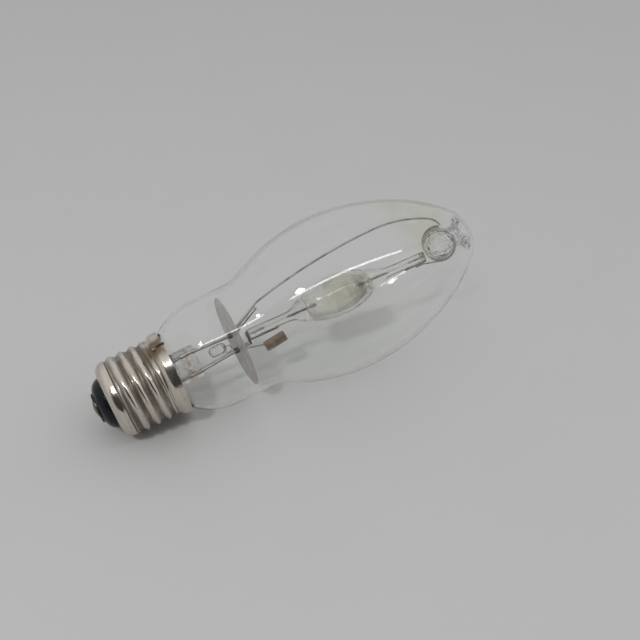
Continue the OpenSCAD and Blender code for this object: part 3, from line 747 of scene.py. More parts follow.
def rounded(points, bend, steps=8):
    """A path in three dimensions with its inner corners rounded."""
    points = [Vector(p) for p in points]
    path = [points[0]]
    for before, p, after in zip(points, points[1:], points[2:]):
        u, w = (p - before).normalized(), (after - p).normalized()
        turn = acos(max(-1, min(1, u.dot(w))))
        side = (w - u.dot(w) * u) / sin(turn)
        middle = p - bend * tan(turn / 2) * u + bend * side
        for k in range(steps + 1):
            a = turn * k / steps
            path.append(middle - bend * cos(a) * side + bend * sin(a) * u)
    return path + [points[-1]]


def wire_tree():
    """Geometry Nodes that sweep a round wire along the edges of a mesh."""
    tree = bpy.data.node_groups.get("Wire along path")
    if tree:
        return tree
    tree = bpy.data.node_groups.new("Wire along path", "GeometryNodeTree")
    tree.is_modifier = True
    face = tree.interface
    face.new_socket(name="Path", in_out="INPUT", socket_type="NodeSocketGeometry")
    for name, kind in (
        ("Wire radius", "NodeSocketFloat"),
        ("Sides", "NodeSocketInt"),
        ("Finish", "NodeSocketMaterial"),
    ):
        face.new_socket(name=name, in_out="INPUT", socket_type=kind)
    face.new_socket(name="Wire", in_out="OUTPUT", socket_type="NodeSocketGeometry")
    new, link = tree.nodes.new, tree.links.new
    start, end = new("NodeGroupInput"), new("NodeGroupOutput")
    curve = new("GeometryNodeMeshToCurve")
    circle = new("GeometryNodeCurvePrimitiveCircle")
    sweep = new("GeometryNodeCurveToMesh")
    real = new("GeometryNodeRealizeInstances")
    paint = new("GeometryNodeSetMaterial")
    sweep.inputs["Fill Caps"].default_value = True
    for source, output, target, entry in (
        (start, "Path", curve, "Mesh"),
        (start, "Wire radius", circle, "Radius"),
        (start, "Sides", circle, "Resolution"),
        (curve, "Curve", sweep, "Curve"),
        (circle, "Curve", sweep, "Profile Curve"),
        (sweep, "Mesh", real, "Geometry"),
        (real, "Geometry", paint, "Geometry"),
        (start, "Finish", paint, "Material"),
        (paint, "Geometry", end, "Wire"),
    ):
        link(source.outputs[output], target.inputs[entry])
    return tree


def wire(name, path, radius, place, finish="wire_metal", sides=16):
    """Round wire along a path in millimetres, as a plain mesh."""
    points = placed(path, place)
    mesh = bpy.data.meshes.new(name)
    mesh.from_pydata(points, [(i, i + 1) for i in range(len(points) - 1)], [])
    holder = bpy.data.objects.new(name + "_path", mesh)
    bpy.context.scene.collection.objects.link(holder)
    sweep = holder.modifiers.new("Wire", "NODES")
    sweep.node_group = wire_tree()
    values = {"Wire radius": radius * MM, "Sides": sides, "Finish": material(finish)}
    for socket in sweep.node_group.interface.items_tree:
        if socket.name in values:
            sweep[socket.identifier] = values[socket.name]
    graph = bpy.context.evaluated_depsgraph_get()
    made = bpy.data.meshes.new_from_object(holder.evaluated_get(graph))
    bpy.data.objects.remove(holder)
    if not made.polygons:
        raise RuntimeError(name + " came out empty")
    return add_piece(name, made, finish, 60)


def wired(name, node, path, radius, place, bend=0.0, finish="wire_metal"):
    """A wire with its corners rounded that stands for a CAD node."""
    path = rounded(path, bend) if bend else path
    shown(wire(name, path, radius, place, finish), node)


def slab(name, outline, low, high, place, finish, bevel=0.08, holes=()):
    """Sheet of an outline in X and Y between two heights, with rounded edges."""
    made = bmesh.new()
    edges = []
    for loop in (outline, *holes):
        verts = [made.verts.new((x, y, low)) for x, y in loop]
        edges += [made.edges.new((a, b)) for a, b in zip(verts, verts[1:] + verts[:1])]
    bmesh.ops.triangle_fill(made, use_beauty=True, edges=edges)
    faces = bmesh.ops.extrude_face_region(made, geom=made.faces[:])["geom"]
    bmesh.ops.translate(
        made, verts=[v for v in faces if isinstance(v, bmesh.types.BMVert)], vec=(0, 0, high - low)
    )
    bmesh.ops.recalc_face_normals(made, faces=made.faces[:])
    rim = [e for e in made.edges if len(e.link_faces) == 2 and e.calc_face_angle(0) > radians(60)]
    bmesh.ops.bevel(
        made, geom=rim, offset=bevel, segments=2, profile=0.5, affect="EDGES", clamp_overlap=True
    )
    made.transform(place)
    made.transform(Matrix.Scale(MM, 4))
    if place.to_3x3().determinant() < 0:
        bmesh.ops.reverse_faces(made, faces=made.faces[:])
    return add_piece(name, as_mesh(made), finish, 35)


def side_on(place):
    """Frame in which a slab's outline lies in X and Z and its thickness runs along Y."""
    return place @ turned(90, "X")


# Shapes that several pieces share


def shell_stations(cap):
    """Radius, height, normal and share of thread along the cap's outer face."""
    rows, round_steps, skirt_steps, fade = 150, 18, 16, 1.6
    mean = (cap.thread_d - cap.depth) / 2
    top = cap.height - cap.skirt_h - 0.5
    turn_r, ring_top = mean - cap.end_round, cap.end_z + cap.end_round
    out = [(cap.hole_d / 2, cap.end_z, 0, -1, 0)]
    for i in range(round_steps + 1):
        a = pi / 2 * i / round_steps
        r, z = turn_r + cap.end_round * sin(a), cap.end_z + cap.end_round * (1 - cos(a))
        out.append((r, z, sin(a), -cos(a), 0))
    for i in range(1, rows + 1):
        z = ring_top + (top - ring_top) * i / rows
        out.append((mean, z, 1, 0, smooth(z - ring_top) * smooth((top - z) / fade)))
    for i in range(1, skirt_steps + 1):
        t = i / skirt_steps
        share = 0.75 * smooth(2.2 * t) + 0.25 * t
        out.append((mean + (cap.skirt_d / 2 - mean) * share, top + (cap.height - top) * t, 1, 0, 0))
    return out


def smooth(t):
    t = min(1, max(0, t))
    return t * t * (3 - 2 * t)


def shell_ring(station, depth, cap, n=176, knocks=0.05):
    """Ring of the shell at a station, a depth below its outer face, with slight knocks."""
    r, z, nr, nz, share = station
    points = []
    for i in range(n):
        a = TURN * i / n
        thread = cap.depth / 2 * cos(TURN * (z - cap.start) / cap.pitch - a)
        knock = knocks * noise.noise(Vector((cos(a) * 2.1, sin(a) * 2.1, z * 0.22)))
        here = r + share * thread + knock - depth * nr
        points.append((here * cos(a), here * sin(a), z - depth * nz))
    return points


def bulb_line(off, glass):
    """Outline of the bulb from the neck's end to the dimple, moved inward by off."""
    big, neck = glass.bulb_d / 2, glass.neck_d / 2
    tube_r = glass.tube_d / 2
    shoulder = (neck - glass.shoulder_r, glass.neck_z)
    reach = glass.shoulder_r + glass.blend_r
    blend_a = degrees(asin((tube_r + glass.blend_r - shoulder[0]) / reach))
    blend = (tube_r + glass.blend_r, glass.neck_z - reach * cos(radians(blend_a)))
    side = (big - glass.side_r, glass.bulb_z)
    waist_a = degrees(asin((neck + glass.waist_r - side[0]) / (glass.side_r + glass.waist_r)))
    waist = (
        neck + glass.waist_r,
        glass.bulb_z - (glass.side_r + glass.waist_r) * cos(radians(waist_a)),
    )
    throat, ball = glass.throat_d / 2 - glass.wall, glass.dimple_d / 2 - glass.wall
    lip = (throat + glass.lip_r, glass.length - glass.lip_r)
    lip_a = degrees(asin(lip[0] / (glass.dome_r - glass.lip_r)))
    dome_z = lip[1] - (glass.dome_r - glass.lip_r) * cos(radians(lip_a))
    rise = dome_z - glass.bulb_z
    front_r = (rise * rise + big * big - glass.dome_r**2) / (2 * (big - glass.dome_r))
    front = (big - front_r, glass.bulb_z)
    front_a = degrees(atan2(rise, -front[0]))
    gap = degrees(asin((throat + off) / (ball + off)))
    line = [(tube_r - off, glass.tube_z), (tube_r - off, blend[1] - 4)]
    line += arc(blend, glass.blend_r + off, 180, 90 + blend_a, 8)
    line += arc(shoulder, glass.shoulder_r - off, blend_a - 88, 0, 26)
    line += arc(waist, glass.waist_r + off, 180, 90 + waist_a, 12)[1:]
    line += arc(side, glass.side_r - off, waist_a - 89, 0, 22)
    line += arc(front, front_r - off, 2, front_a - 1, 26)
    line += arc((0, dome_z), glass.dome_r - off, front_a, 90 - lip_a, 14)
    line += arc(lip, glass.lip_r - off, 87 - lip_a, 180, 14)
    line += arc((0, glass.dimple_z), ball + off, 90 - gap, -90, 34)
    line[-1] = (0, line[-1][1])
    return line


def oval(half_x, half_y, power, z, n=72):
    """Ring between an ellipse (power 2) and a rounded rectangle (a high power)."""
    points = []
    for i in range(n):
        a = TURN * i / n
        c, s = cos(a), sin(a)
        scale = (abs(c) ** power + abs(s) ** power) ** (-1 / power)
        points.append((half_x * c * scale, half_y * s * scale, z))
    return points


# Operators, one for each piece or group of like pieces


class LampOperator(bpy.types.Operator):
    """Builds one piece of the lamp."""

    bl_options = {"REGISTER", "UNDO"}

    def execute(self, context):
        self.build(sizes("lamp_cap"), sizes("lamp_glass"), sizes("lamp_mount"))
        return {"FINISHED"}


class LAMP_OT_screw_shell(LampOperator):
    """Rolls the screw shell with its thread and skirt"""

    bl_idname = "lamp.screw_shell"
    bl_label = "Screw shell"

    def build(self, cap, glass, inner):
        stations = shell_stations(cap)
        outer = [shell_ring(s, 0, cap) for s in stations]
        inside = [shell_ring(s, cap.wall, cap) for s in stations[::2] + stations[-1:]]
        rings = outer + inside[::-1] + [outer[0]]
        piece = skin("cap_shell", rings, lay(), "worn_nickel", smooth=50)
        shown(piece, "screw_shell")


def insulator_top(cap):
    return cap.end_z + cap.wall + 2.1


class LAMP_OT_cap_end(LampOperator):
    """Turns the insulator, the centre contact and its solder"""

    bl_idname = "lamp.cap_end"
    bl_label = "Insulator and contact"

    def build(self, cap, glass, inner):
        hole, tip = cap.hole_d / 2 - 0.05, cap.tip_d / 2
        tip_z, top_z = cap.solder_h + 0.5, insulator_top(cap)
        hub = cap.thread_d / 2 - cap.depth / 2 - cap.end_round
        cone = [(0, tip_z), (tip - 0.5, tip_z)]
        cone += arc((tip - 0.5, tip_z + 0.5), 0.5, -90, -25, 5)
        foot, rim = Vector((tip - 0.05, tip_z + 0.3)), Vector((hole, cap.end_z - 0.1))
        steps, bulge, outward = 15, 0.7, Vector((0.62, -0.78))
        for i in range(1, steps):
            t = i / steps
            x, z = foot.lerp(rim, t) + bulge * sin(pi * t) ** 0.8 * outward
            cone.append((min(x, hole), z))
        seat = cap.end_z + cap.wall
        cone += [(hole, seat), (hub, seat), (hub - 1.2, top_z), (0, top_z)]
        piece = lathe("insulator_cone", cone, "black_glass", smooth=30)
        shown(piece, "insulator")
        plate_r, plate_t, hole_r, edge_r = cap.contact_d / 2, 0.5, 0.9, 0.2
        low = cap.solder_h
        edge = arc((plate_r - edge_r, low + edge_r), edge_r, -90, 0, 4)
        plate = [(hole_r, low), *edge, (plate_r, low + plate_t), (hole_r, low + plate_t)]
        shown(lathe("contact_plate", plate, "contact_metal"), "centre_contact")
        half, high = cap.solder_d / 2, cap.solder_h
        ball = (half * half + high * high) / (2 * high)
        reach = degrees(asin(half / ball))
        drop = [(0, 0)] + arc((0, ball), ball, -90, -90 + reach, 12)[1:]
        drop += [(half - 0.25, high), (0, high)]
        shown(lathe("contact_drop", drop, "solder"), "contact_solder")


class LAMP_OT_cap_leads(LampOperator):
    """Bends the two leads in the cap and welds one to the skirt"""

    bl_idname = "lamp.cap_leads"
    bl_label = "Cap leads and weld"

    def build(self, cap, glass, inner):
        r, bend = inner.lead_d / 2, 0.4
        turn = radians(cap.weld_turn)
        seal, crossing = glass.press_z + 4, glass.tube_z - 1.2
        beside = glass.tube_d / 2 + 0.35 + r
        rim_in = cap.skirt_d / 2 - cap.wall - r - 2 * SLIP
        rim_out, over = cap.skirt_d / 2 + r + SLIP, cap.height + r + SLIP
        weld_z, weld_r = cap.height - cap.skirt_h + 1, cap.skirt_d / 2 - 0.2 + r
        climb = [
            (beside, crossing), (beside, 21.5), (rim_in, cap.height - 0.4), (rim_in, over),
            (rim_out, over), (rim_out, cap.height - 1.5), (weld_r, weld_z),
        ]  # fmt: skip
        route = [(LONG_X, 0, seal), (LONG_X, 0, crossing)]
        route += [(x * cos(turn), x * sin(turn), z) for x, z in climb]
        wired("side_lead_wire", "side_lead", route, r, mount(), bend, "strap_steel")
        tip_bend = insulator_top(cap) + r + SLIP
        route = [(SHORT_X, 0, seal), (SHORT_X, 0, crossing), (0, 0, tip_bend)]
        route.append((0, 0, cap.solder_h - 0.3))
        wired("centre_lead_wire", "centre_lead", route, r, mount(), bend)
        blob = bmesh.new()
        bmesh.ops.create_icosphere(blob, subdivisions=5, radius=1.1)
        flat, sunk = 0.72, 0.35
        for v in blob.verts:
            v.co *= 1 + 0.16 * noise.noise(v.co * 1.3) + 0.05 * noise.noise(v.co * 4)
            v.co.x *= flat
        blob.transform(Matrix.Translation((cap.skirt_d / 2 - sunk, 0, weld_z)))
        blob.transform(Matrix.Scale(MM, 4) @ mount() @ Matrix.Rotation(turn, 4, "Z"))
        shown(add_piece("weld_drop", as_mesh(blob), "worn_nickel"), "side_weld")


class LAMP_OT_outer_bulb(LampOperator):
    """Blows the outer bulb with its dimple"""

    bl_idname = "lamp.outer_bulb"
    bl_label = "Outer bulb"

    def build(self, cap, glass, inner):
        n = sizes("lamp_studio").facets
        line = bulb_line(0, glass) + bulb_line(glass.wall, glass)[::-1]
        rings = [ring(r, z, n) for r, z in line]
        rings.append(rings[0])
        piece = skin("bulb_glass", rings, lay(), "clear_glass", smooth=60)
        shown(piece, "outer_bulb")


class LAMP_OT_stem(LampOperator):
    """Flares the stem, presses its top and adds the exhaust tube"""

    bl_idname = "lamp.stem"
    bl_label = "Stem and exhaust tube"

    def build(self, cap, glass, inner):
        n, bumps, blend_rows, lip = 72, 12, 8, 0.6
        out, wall = glass.stem_d / 2, glass.stem_wall
        flare, foot = glass.tube_d / 2 - glass.wall, glass.tube_z
        curve = flare - out
        half_w, half_t = glass.press_w / 2, glass.press_t / 2
        rings = [[(0, 0, glass.press_top)]]
        for share in (0.5, 0.8, 0.94):
            rings.append(oval(half_w * share, half_t * share, 5, glass.press_top, n))
        rings.append(oval(half_w, half_t, 5, glass.press_top - 0.5, n))
        for i in range(bumps + 1):
            z = glass.press_top - 0.8 - (glass.press_top - glass.press_z - 2.5) * i / bumps
            swell = 0.12 * sin(2.1 * i)
            rings.append(oval(half_w + swell, half_t + 0.6 * swell, 5, z, n))
        for i in range(1, blend_rows + 1):
            t = smooth(i / blend_rows)
            z = glass.press_z + 1.7 - 5.0 * i / blend_rows
            half_x, half_y = half_w + (out - half_w) * t, half_t + (out - half_t) * t
            rings.append(oval(half_x, half_y, 5 - 3 * t, z, n))
        bell = arc((flare, foot + lip + curve), curve, 180, 264, 9)
        rings += [ring(r, z, n) for r, z in bell]
        rings += [ring(flare, foot + lip, n), ring(flare, foot, n), ring(flare - wall, foot, n)]
        hollow = arc((flare, foot + lip + curve), curve + wall, 258, 180, 9)
        hollow += arc((0, glass.press_z - 3.4), out - wall, 0, 90, 9)
        hollow[-1] = (0, hollow[-1][1])
        rings += [ring(r, z, n) for r, z in hollow]
        stem = skin("stem_glass", rings, mount(), "stem_glass", inside_out=True)
        shown(stem, "stem")
        r, thick = glass.exhaust_d / 2, 0.6
        tip = (0, glass.exhaust_z + r)
        line = arc(tip, r, -90, 0, 8) + [(r, glass.press_z - 0.2), (r - thick, glass.press_z - 0.2)]
        line += arc(tip, r - thick, 0, -90, 8)
        line[0], line[-1] = (0, line[0][1]), (0, line[-1][1])
        shown(lathe("exhaust_glass", line, "stem_glass", n=48), "exhaust_tube")


def rod_corners(glass):
    """Corners of the two support rods."""
    slope, tail = radians(KNEE_SLOPE), 8.8
    knee = Vector((KNEE_X, 0, KNEE_Z))
    seal, press = glass.press_z + 4, glass.press_top
    long_rod = [(LONG_X, 0, seal), (LONG_X, 0, press), (LONG_NECK, 0, NECK_Z), knee]
    long_rod.append(knee + tail * Vector((sin(slope), 0, cos(slope))))
    return long_rod, [(SHORT_X, 0, seal), (SHORT_X, 0, press), (SHORT_NECK, 0, SHORT_TOP)]


def rod_at(z, glass, foot_x, top_x, top_z):
    """Where a rod that leans from the press to its upper end stands at a height."""
    return foot_x + (top_x - foot_x) * (z - glass.press_top) / (top_z - glass.press_top)


def short_rod_at(z, glass):
    return rod_at(z, glass, SHORT_X, SHORT_NECK, SHORT_TOP)


class LAMP_OT_rods(LampOperator):
    """Bends the support rods and crimps the stops under the heat shield"""

    bl_idname = "lamp.rods"
    bl_label = "Rods and stops"

    def build(self, cap, glass, inner):
        long_rod, short_rod = rod_corners(glass)
        r = inner.rod_d / 2
        rods = ("long", long_rod), ("short", short_rod)
        for side, corners in rods:
            wired(side + "_rod_wire", side + "_rod", corners, r, mount(), 1.5)
        for side, corners in rods:
            foot, top = Vector(corners[1]), Vector(corners[2])
            along = (top - foot).normalized()
            high = foot + along * (inner.shield_z - inner.shield_t / 2 - 0.1 - foot.z)
            turn = along.to_track_quat("Z", "Y").to_matrix().to_4x4()
            line = [(r, -1.4), (r + 0.28, -1.4)] + arc((r + 0.28, -1.25), 0.12, -60, 0, 3)
            line += [(r + 0.4, -0.7), (r + 0.34, -0.55), (r + 0.4, -0.4)]
            line += arc((r + 0.28, -0.15), 0.12, 0, 90, 3) + [(r, 0)]
            place = mount() @ Matrix.Translation(high) @ turn
            piece = lathe("stop_" + side, line, "strap_steel", place, 40)
            shown(piece, "shield_stop_" + side)


class LAMP_OT_heat_shield(LampOperator):
    """Cuts the mica heat shield"""

    bl_idname = "lamp.heat_shield"
    bl_label = "Heat shield"

    def build(self, cap, glass, inner):
        steps, chip = 180, 0.10
        outline = []
        for i in range(steps):
            a = TURN * i / steps
            uneven = chip * noise.noise(Vector((cos(a) * 5, sin(a) * 5, 0.4)))
            r = inner.shield_d / 2 - chip + uneven
            outline.append((r * cos(a), r * sin(a)))
        long_x = rod_at(inner.shield_z, glass, LONG_X, LONG_NECK, NECK_Z)
        holes = [
            arc((x, 0), inner.rod_d / 2 + 0.15, 0, 360 - 15, 23)
            for x in (long_x, short_rod_at(inner.shield_z, glass))
        ]
        low = inner.shield_z - inner.shield_t / 2
        high = low + inner.shield_t
        disc = slab("mica_disc", outline, low, high, mount(), "mica", 0.05, holes)
        shown(disc, "heat_shield")


class LAMP_OT_small_parts(LampOperator):
    """Adds the starting capsule, the getter flag and their wires"""

    bl_idname = "lamp.small_parts"
    bl_label = "Starting capsule and getter"

    def build(self, cap, glass, inner):
        thin, rod_r = inner.thin_d / 2, inner.rod_d / 2
        r, wall, low, high = 1.8, 0.4, 39.4, 45.4  # of the capsule
        halves = []
        for name, off in (("capsule_glass", 0), ("capsule_hollow", wall)):
            line = arc((0, low + r), r - off, -90, 0, 10) + arc((0, high - r), r - off, 0, 90, 10)
            line[0], line[-1] = (0, low + off), (0, high - off)
            line = line[::-1] if off else line
            halves.append(lathe(name, line, "quartz", mount(), 48))
        shown(joined(*halves), "starting_capsule")
        rise = high + 0.4
        hoop = (-short_rod_at(rise, glass) - rod_r - thin - SLIP) / 2
        path = [(0, 0, high - 1.4)] + [(x, 0, z) for x, z in arc((-hoop, rise), hoop, 0, 180, 20)]
        path.append((-2 * hoop, 0, rise - 1.6))
        wired("capsule_lead", "capsule_wire", path, thin, mount())
        foot = inner.shield_z + 0.8
        foot_x = short_rod_at(foot, glass) - rod_r - thin - SLIP
        x, z, wide, tall, corner, half = 4.1, 56.8, 3.5, 7.8, 0.5, 0.2  # of the flag
        back = -half - thin
        route = [
            (foot_x, 0, foot), (foot_x, 0, foot + 1.6), (-x - 0.9, back, z),
            (-x - 0.7, back, z + 0.7 * tall),
        ]  # fmt: skip
        wired("getter_lead", "getter_wire", route, thin, mount(), 0.6)
        place = mount() @ Matrix.Translation((-x, 0, z)) @ turned(5.5, "Y")
        outline = []
        for cx, cz, a in (
            (-corner, corner, -90), (-corner, tall - corner, 0),
            (corner - wide, tall - corner, 90), (corner - wide, corner, 180),
        ):  # fmt: skip
            outline += arc((cx, cz), corner, a, a + 90, 5)
        flag = slab("getter_plate", outline, -half, half, side_on(place), "getter_brown", 0.09)
        trough = [(px * 0.62 - 0.66, pz * 0.72 + 1.1) for px, pz in outline]
        low, high = -half - 0.04, -half + 0.08
        fill = slab("getter_fill", trough, low, high, side_on(place), "getter_brown", 0.03)
        shown(joined(flag, fill), "getter_flag")


def bow_path(inner):
    """The bow wire's route, lying in its own plane."""
    bow_r, rod_r = inner.bow_d / 2, inner.rod_d / 2
    slope = radians(KNEE_SLOPE)
    along = Vector((sin(slope), cos(slope)))
    outward = Vector((cos(slope), -sin(slope)))
    tail = Vector((KNEE_X, KNEE_Z)) + (rod_r + bow_r + SLIP) * outward
    path = [-1.4 * along, 8.6 * along]
    bends = (12, KNEE_SLOPE, 12.7), (210, 12.7, 0), (41.5, 0, -27.3), (6, -27.3, -75)
    for radius, start, end in bends:
        a = radians(start)
        middle = path[-1] + radius * Vector((-cos(a), sin(a)))
        path += [Vector(p) for p in arc(middle, radius, -start, -end, 16)[1:]]
    return tail, [(p.x, 0, p.y) for p in path]


class LAMP_OT_frame_wires(LampOperator):
    """Bends the bow wire, the loop round the dimple and the link between them"""

    bl_idname = "lamp.frame_wires"
    bl_label = "Bow, loop and link"

    def build(self, cap, glass, inner):
        tail, path = bow_path(inner)
        place = mount() @ Matrix.Translation((tail.x, 0, tail.y)) @ turned(-1.8, "X")
        wired("bow", "bow_wire", path, inner.bow_d / 2, place)
        loop_r = glass.dimple_d / 2 + SLIP + inner.loop_d / 2
        centre = mount() @ Matrix.Translation((0, 0, glass.dimple_z)) @ turned(LOOP_LEAN, "X")
        path = [(x, y, 0) for x, y in arc((0, 0), loop_r, 85, 85 + 302, 72)]
        wired("loop", "dimple_loop", path, inner.loop_d / 2, centre)
        thin, below = inner.thin_d / 2, 0.6
        top = TUBE_Z + inner.tube_l - below
        strap_x = inner.seal_t / 2 + STRAP_T
        x = TUBE_X - (inner.tube_l - below) * tan(radians(TUBE_LEAN)) - strap_x - thin - SLIP
        a, lean = radians(195), radians(LOOP_LEAN)
        meet = Vector(
            (
                loop_r * cos(a),
                loop_r * sin(a) * cos(lean),
                glass.dimple_z + loop_r * sin(a) * sin(lean) - inner.loop_d / 2 - thin - SLIP,
            )
        )
        route = [(x, 0, top - 3), (x, 0, top), meet]
        wired("link", "link_wire", route, thin, mount(), 0.6)


def strap_outline(inner, leg, tab):
    """Bent strip seen edge-on: across the seal's end and up one side."""
    t, half, bend = STRAP_T, inner.seal_t / 2, 0.45
    out = half + t
    line = [(half - 0.6, 0), (half - 0.6, -t)]
    if tab > out + 0.1:
        line += [(-tab, -t), (-tab, 0), (-out, 0)]
    else:
        line += arc((-out + bend, -t + bend), bend, 270, 180, 5)
    return line + [(-out, leg), (-half - 0.02, leg), (-half - 0.02, 0)]


class LAMP_OT_straps(LampOperator):
    """Bends the steel straps on the arc tube's seals"""

    bl_idname = "lamp.straps"
    bl_label = "Straps"

    def build(self, cap, glass, inner):
        lower_tab = TUBE_X - SHORT_NECK + inner.rod_d / 2
        for name, place, leg, tab in (
            ("lower_strap", tube(), 10.2, lower_tab),
            ("upper_strap", upper_end(), 7.2, 0),
        ):
            outline = strap_outline(inner, leg, tab)
            half = STRAP_W / 2
            piece = slab(name + "_strip", outline, -half, half, side_on(place), "strap_steel", 0.07)
            shown(piece, name)


def body_half(inner, z):
    """Radius of the arc tube's round body at a height above its lower end."""
    t = (z - inner.tube_l / 2) / (inner.body_l / 2)
    return inner.body_d / 2 * max(0, 1 - t * t) ** 0.5


class LAMP_OT_arc_tube(LampOperator):
    """Draws the quartz arc tube with its flat seals and its hollow body"""

    bl_idname = "lamp.arc_tube"
    bl_label = "Arc tube"

    def build(self, cap, glass, inner):
        mid = inner.tube_l / 2
        hx, hy = inner.seal_t / 2, inner.seal_w / 2
        seal_rows, blend_rows, body_rows = 15, 10, 30
        blend_z, body_z, groove = 14.6, 22.2, 0.10
        lower = [[(0, 0, 0)], oval(hx * 0.6, hy * 0.8, 4, 0), oval(hx * 0.92, hy * 0.96, 5, 0.15)]
        for i in range(seal_rows):
            press = groove * (i % 2) if 2 < i < seal_rows - 2 else 0
            lower.append(oval(hx - press, hy, 6, 0.6 + i))
        end = body_half(inner, body_z)
        for i in range(1, blend_rows + 1):
            z = blend_z + (body_z - blend_z) * i / blend_rows
            t = smooth(i / blend_rows)
            round_r = (end + body_half(inner, z)) / 2 if i > 7 else end
            half_x, half_y = hx + (round_r - hx) * t, hy + (round_r - hy) * t
            lower.append(oval(half_x, half_y, 6 - 4 * t, z))
        body = []
        for i in range(1, body_rows):
            z = body_z + (inner.tube_l - 2 * body_z) * i / body_rows
            r = body_half(inner, z)
            body.append(oval(r, r, 2, z))
        upper = [[(x, y, inner.tube_l - z) for x, y, z in loop] for loop in lower[::-1]]
        outer = skin("arc_tube_quartz", lower + body + upper, tube(), "quartz", smooth=50)
        half = (inner.body_l - 4 * inner.quartz) / 2
        r = inner.body_d / 2 - inner.quartz
        egg = [(r * cos(a), mid + half * sin(a)) for a in (pi * i / 40 - pi / 2 for i in range(41))]
        egg[0], egg[-1] = (0, mid - half), (0, mid + half)
        rings = [ring(x, z, 72) for x, z in egg]
        cavity = skin("arc_tube_hollow", rings, tube(), "quartz", inside_out=True)
        shown(joined(outer, cavity), "arc_tube")


class LAMP_OT_arc_tube_ends(LampOperator):
    """Adds the foils, lead wires, electrodes and coils of both seals"""

    bl_idname = "lamp.arc_tube_ends"
    bl_label = "Foils and electrodes"

    def build(self, cap, glass, inner):
        r, foil_in, foil_l, foil_w, foil_t = 0.35, 5, 10, 2.4, 0.1
        tip = inner.tube_l / 2 - 8
        half, narrow, point = foil_w / 2, foil_w / 2 - 0.3, 0.15
        end = [(-half, foil_in), (-narrow, foil_in - point), (narrow, foil_in - point)]
        end.append((half, foil_in))
        outline = end + [(x, 2 * foil_in + foil_l - z) for x, z in end[::-1]]
        coil_r, coil_wire, turns, rise = r + 0.16, 0.2, 5, 0.42
        helix = [
            (coil_r * cos(a), coil_r * sin(a), tip - 0.4 - rise * a / TURN)
            for a in (TURN * i / 24 for i in range(turns * 24 + 1))
        ]
        for name, place in (("lower", tube()), ("upper", upper_end())):
            lead = wire(name + "_lead", [(0, 0, -1.0), (0, 0, foil_in + 0.8)], r, place)
            shown(lead, name + "_arc_lead")
            side = place @ turned(90, "Z")
            low, high = -foil_t / 2, foil_t / 2
            foil = slab(
                name + "_foil_strip", outline, low, high, side_on(side), "foil_metal", 0.02
            )
            shown(foil, name + "_foil")
            shaft = [(0, 0, foil_in + foil_l - 0.8), (0, 0, tip)]
            rod = wire(name + "_rod", shaft, r, place, "tungsten")
            coil = wire(name + "_coil", helix, coil_wire, place, "tungsten", 10)
            shown(joined(rod, coil), name + "_electrode")


class LAMP_OT_films(LampOperator):
    """Lays the white coatings and the patch of salts on the arc tube"""

    bl_idname = "lamp.films"
    bl_label = "Coatings and salts"

    def build(self, cap, glass, inner):
        mid, half = inner.tube_l / 2, inner.body_l / 2
        rows, least_r, off, thick = 28, 2.4, 0.05, 0.11
        for name, place in (("lower", tube()), ("upper", upper_end())):
            outer, inside = [], []
            for i in range(rows + 1):
                z = 20.6 + 6.6 * i / rows
                r = max(body_half(inner, z), least_r)
                outer.append((r + off + thick, z))
                inside.append((r + off, z))
            line = outer + inside[::-1]
            piece = lathe(name + "_coat", line, "white_coating", place, 96)
            shown(piece, name + "_coating")
        outer, inside = [], []
        rows = 24
        for i in range(rows + 1):
            z = mid - 3 + 14 * i / rows
            t = (z - mid) / (half - 2 * inner.quartz)
            r = (inner.body_d / 2 - inner.quartz) * max(0.0, 1 - t * t) ** 0.5
            outer.append((max(r - 0.04, 0.3), z))
            inside.append((max(r - 0.16, 0.2), z))
        tinted_patch = lathe("salt_patch", outer + inside[::-1], "salt_film", tube(), 96)
        shown(tinted_patch, "halide_salts")


class LAMP_OT_cement(LampOperator):
    """Gives the cement in the cap its finish"""

    bl_idname = "lamp.cement"
    bl_label = "Cement"

    def build(self, cap, glass, inner):
        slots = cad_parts["base_cement"].data.materials
        slots.clear()
        slots.append(material("cement"))


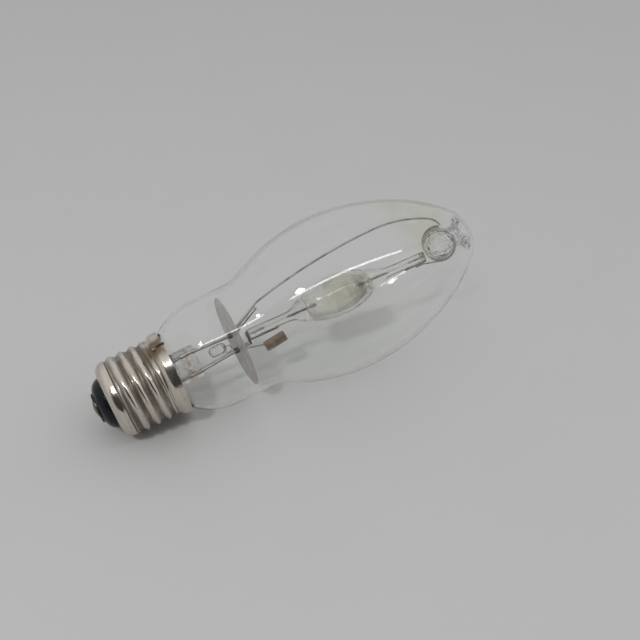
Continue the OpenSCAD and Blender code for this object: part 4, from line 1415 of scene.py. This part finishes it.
class LAMP_OT_studio(LampOperator):
    """Sets the floor, the light and the camera"""

    bl_idname = "lamp.studio"
    bl_label = "Studio"

    def build(self, cap, glass, inner):
        room = sizes("lamp_studio")
        scene = bpy.context.scene
        mesh = bpy.data.meshes.new("studio_floor")
        half = 3.0
        corners = [(-half, -half, 0), (half, -half, 0), (half, half, 0), (-half, half, 0)]
        mesh.from_pydata(corners, [], [(0, 1, 2, 3)])
        mesh.materials.append(material("floor_paint"))
        floor = bpy.data.objects.new("studio_floor", mesh)
        scene.collection.objects.link(floor)
        world = bpy.data.worlds.new("room")
        world.use_nodes = True
        scene.world = world
        shade = world.node_tree.nodes["Background"]
        sky = Finish.over(world.node_tree)
        view = sky.node("ShaderNodeTexCoord").outputs["Generated"]
        height = Socket(sky, sky.node("ShaderNodeSeparateXYZ", {}, view).outputs[2])
        c, s = cos(room.azimuth), sin(room.azimuth)
        forward, right, up = Vector((s, c, 0)), Vector((c, -s, 0)), Vector((0, 0, 1))
        # The dim side of the room, low before the lamp, gives the metal its dark bands
        toward = 0.34 * up - 0.94 * forward
        facing = sky.node("ShaderNodeVectorMath", {"operation": "DOT_PRODUCT"}, view, tuple(toward))
        dim = Socket(sky, facing.outputs["Value"]).step(0.55, 0.90, 1.0, 0.08)
        level = height.step(0.1, 0.62, 0.8, 1.0) * dim * room.world
        ray = sky.node("ShaderNodeLightPath")
        seen = Socket(sky, ray.outputs["Is Camera Ray"]).most(ray.outputs["Is Transmission Ray"])
        sky.feed(shade.inputs["Strength"], seen * room.backdrop + (1 - seen) * level)
        shade.inputs["Color"].default_value = (1, 1, 1, 1)
        for name, power, spot, size in (
            ("key_lamp", room.key, (-0.62, -0.40, 1.05), (0.10, 0.10)),
            ("long_strip", room.strip, (0.0, -0.42, 0.90), (1.5, 0.045)),
        ):
            lamp = bpy.data.lights.new(name, "AREA")
            lamp.shape, lamp.energy = "RECTANGLE", power
            lamp.size, lamp.size_y = size
            holder = bpy.data.objects.new(name, lamp)
            holder.location = spot
            holder.rotation_mode = "QUATERNION"
            holder.rotation_quaternion = (-Vector(spot)).to_track_quat("-Z", "Y")
            scene.collection.objects.link(holder)
        cp, sp = cos(room.pitch), sin(room.pitch)
        look_up = cp * up + sp * forward
        look_on = cp * forward - sp * up
        contact = Vector((BACK, 0, LIFT)) * MM
        camera = bpy.data.cameras.new("camera")
        camera.lens, camera.sensor_width = room.lens, 36
        camera.clip_start = 0.01
        holder = bpy.data.objects.new("camera", camera)
        # Where the contact stands from the camera: left of the middle, below it, away
        spot = contact - (-0.07008 * right - 0.02789 * look_up + 0.2483 * look_on)
        turn = Matrix((right, look_up, -look_on)).transposed().to_4x4()
        holder.matrix_world = Matrix.Translation(spot) @ turn
        scene.collection.objects.link(holder)
        scene.camera = holder
        scene.view_settings.view_transform = "Standard"


class LAMP_PT_pieces(bpy.types.Panel):
    """Lists the lamp's pieces in the sidebar"""

    bl_label = "Metal halide lamp"
    bl_space_type = "VIEW_3D"
    bl_region_type = "UI"
    bl_category = "Lamp"

    def draw(self, context):
        for operator in OPERATORS:
            self.layout.operator(operator.bl_idname)
        for name in SIZES:
            group = getattr(context.scene, name)
            column = self.layout.column(heading=name)
            for key in group.__annotations__:
                column.prop(group, key)


OPERATORS = (
    LAMP_OT_screw_shell, LAMP_OT_cap_end, LAMP_OT_cap_leads, LAMP_OT_outer_bulb, LAMP_OT_stem,
    LAMP_OT_rods, LAMP_OT_heat_shield, LAMP_OT_small_parts, LAMP_OT_frame_wires, LAMP_OT_straps,
    LAMP_OT_arc_tube, LAMP_OT_arc_tube_ends, LAMP_OT_films, LAMP_OT_cement, LAMP_OT_studio,
)  # fmt: skip
CLASSES = (*SIZES.values(), *OPERATORS, LAMP_PT_pieces)


def register():
    for made in CLASSES:
        bpy.utils.register_class(made)
    for name, group in SIZES.items():
        setattr(bpy.types.Scene, name, PointerProperty(type=group))


def unregister():
    for name in SIZES:
        delattr(bpy.types.Scene, name)
    for made in reversed(CLASSES):
        bpy.utils.unregister_class(made)


def main():
    register()
    for operator in OPERATORS:
        group, name = operator.bl_idname.split(".")
        getattr(getattr(bpy.ops, group), name)()


if __name__ == "__main__":
    main()
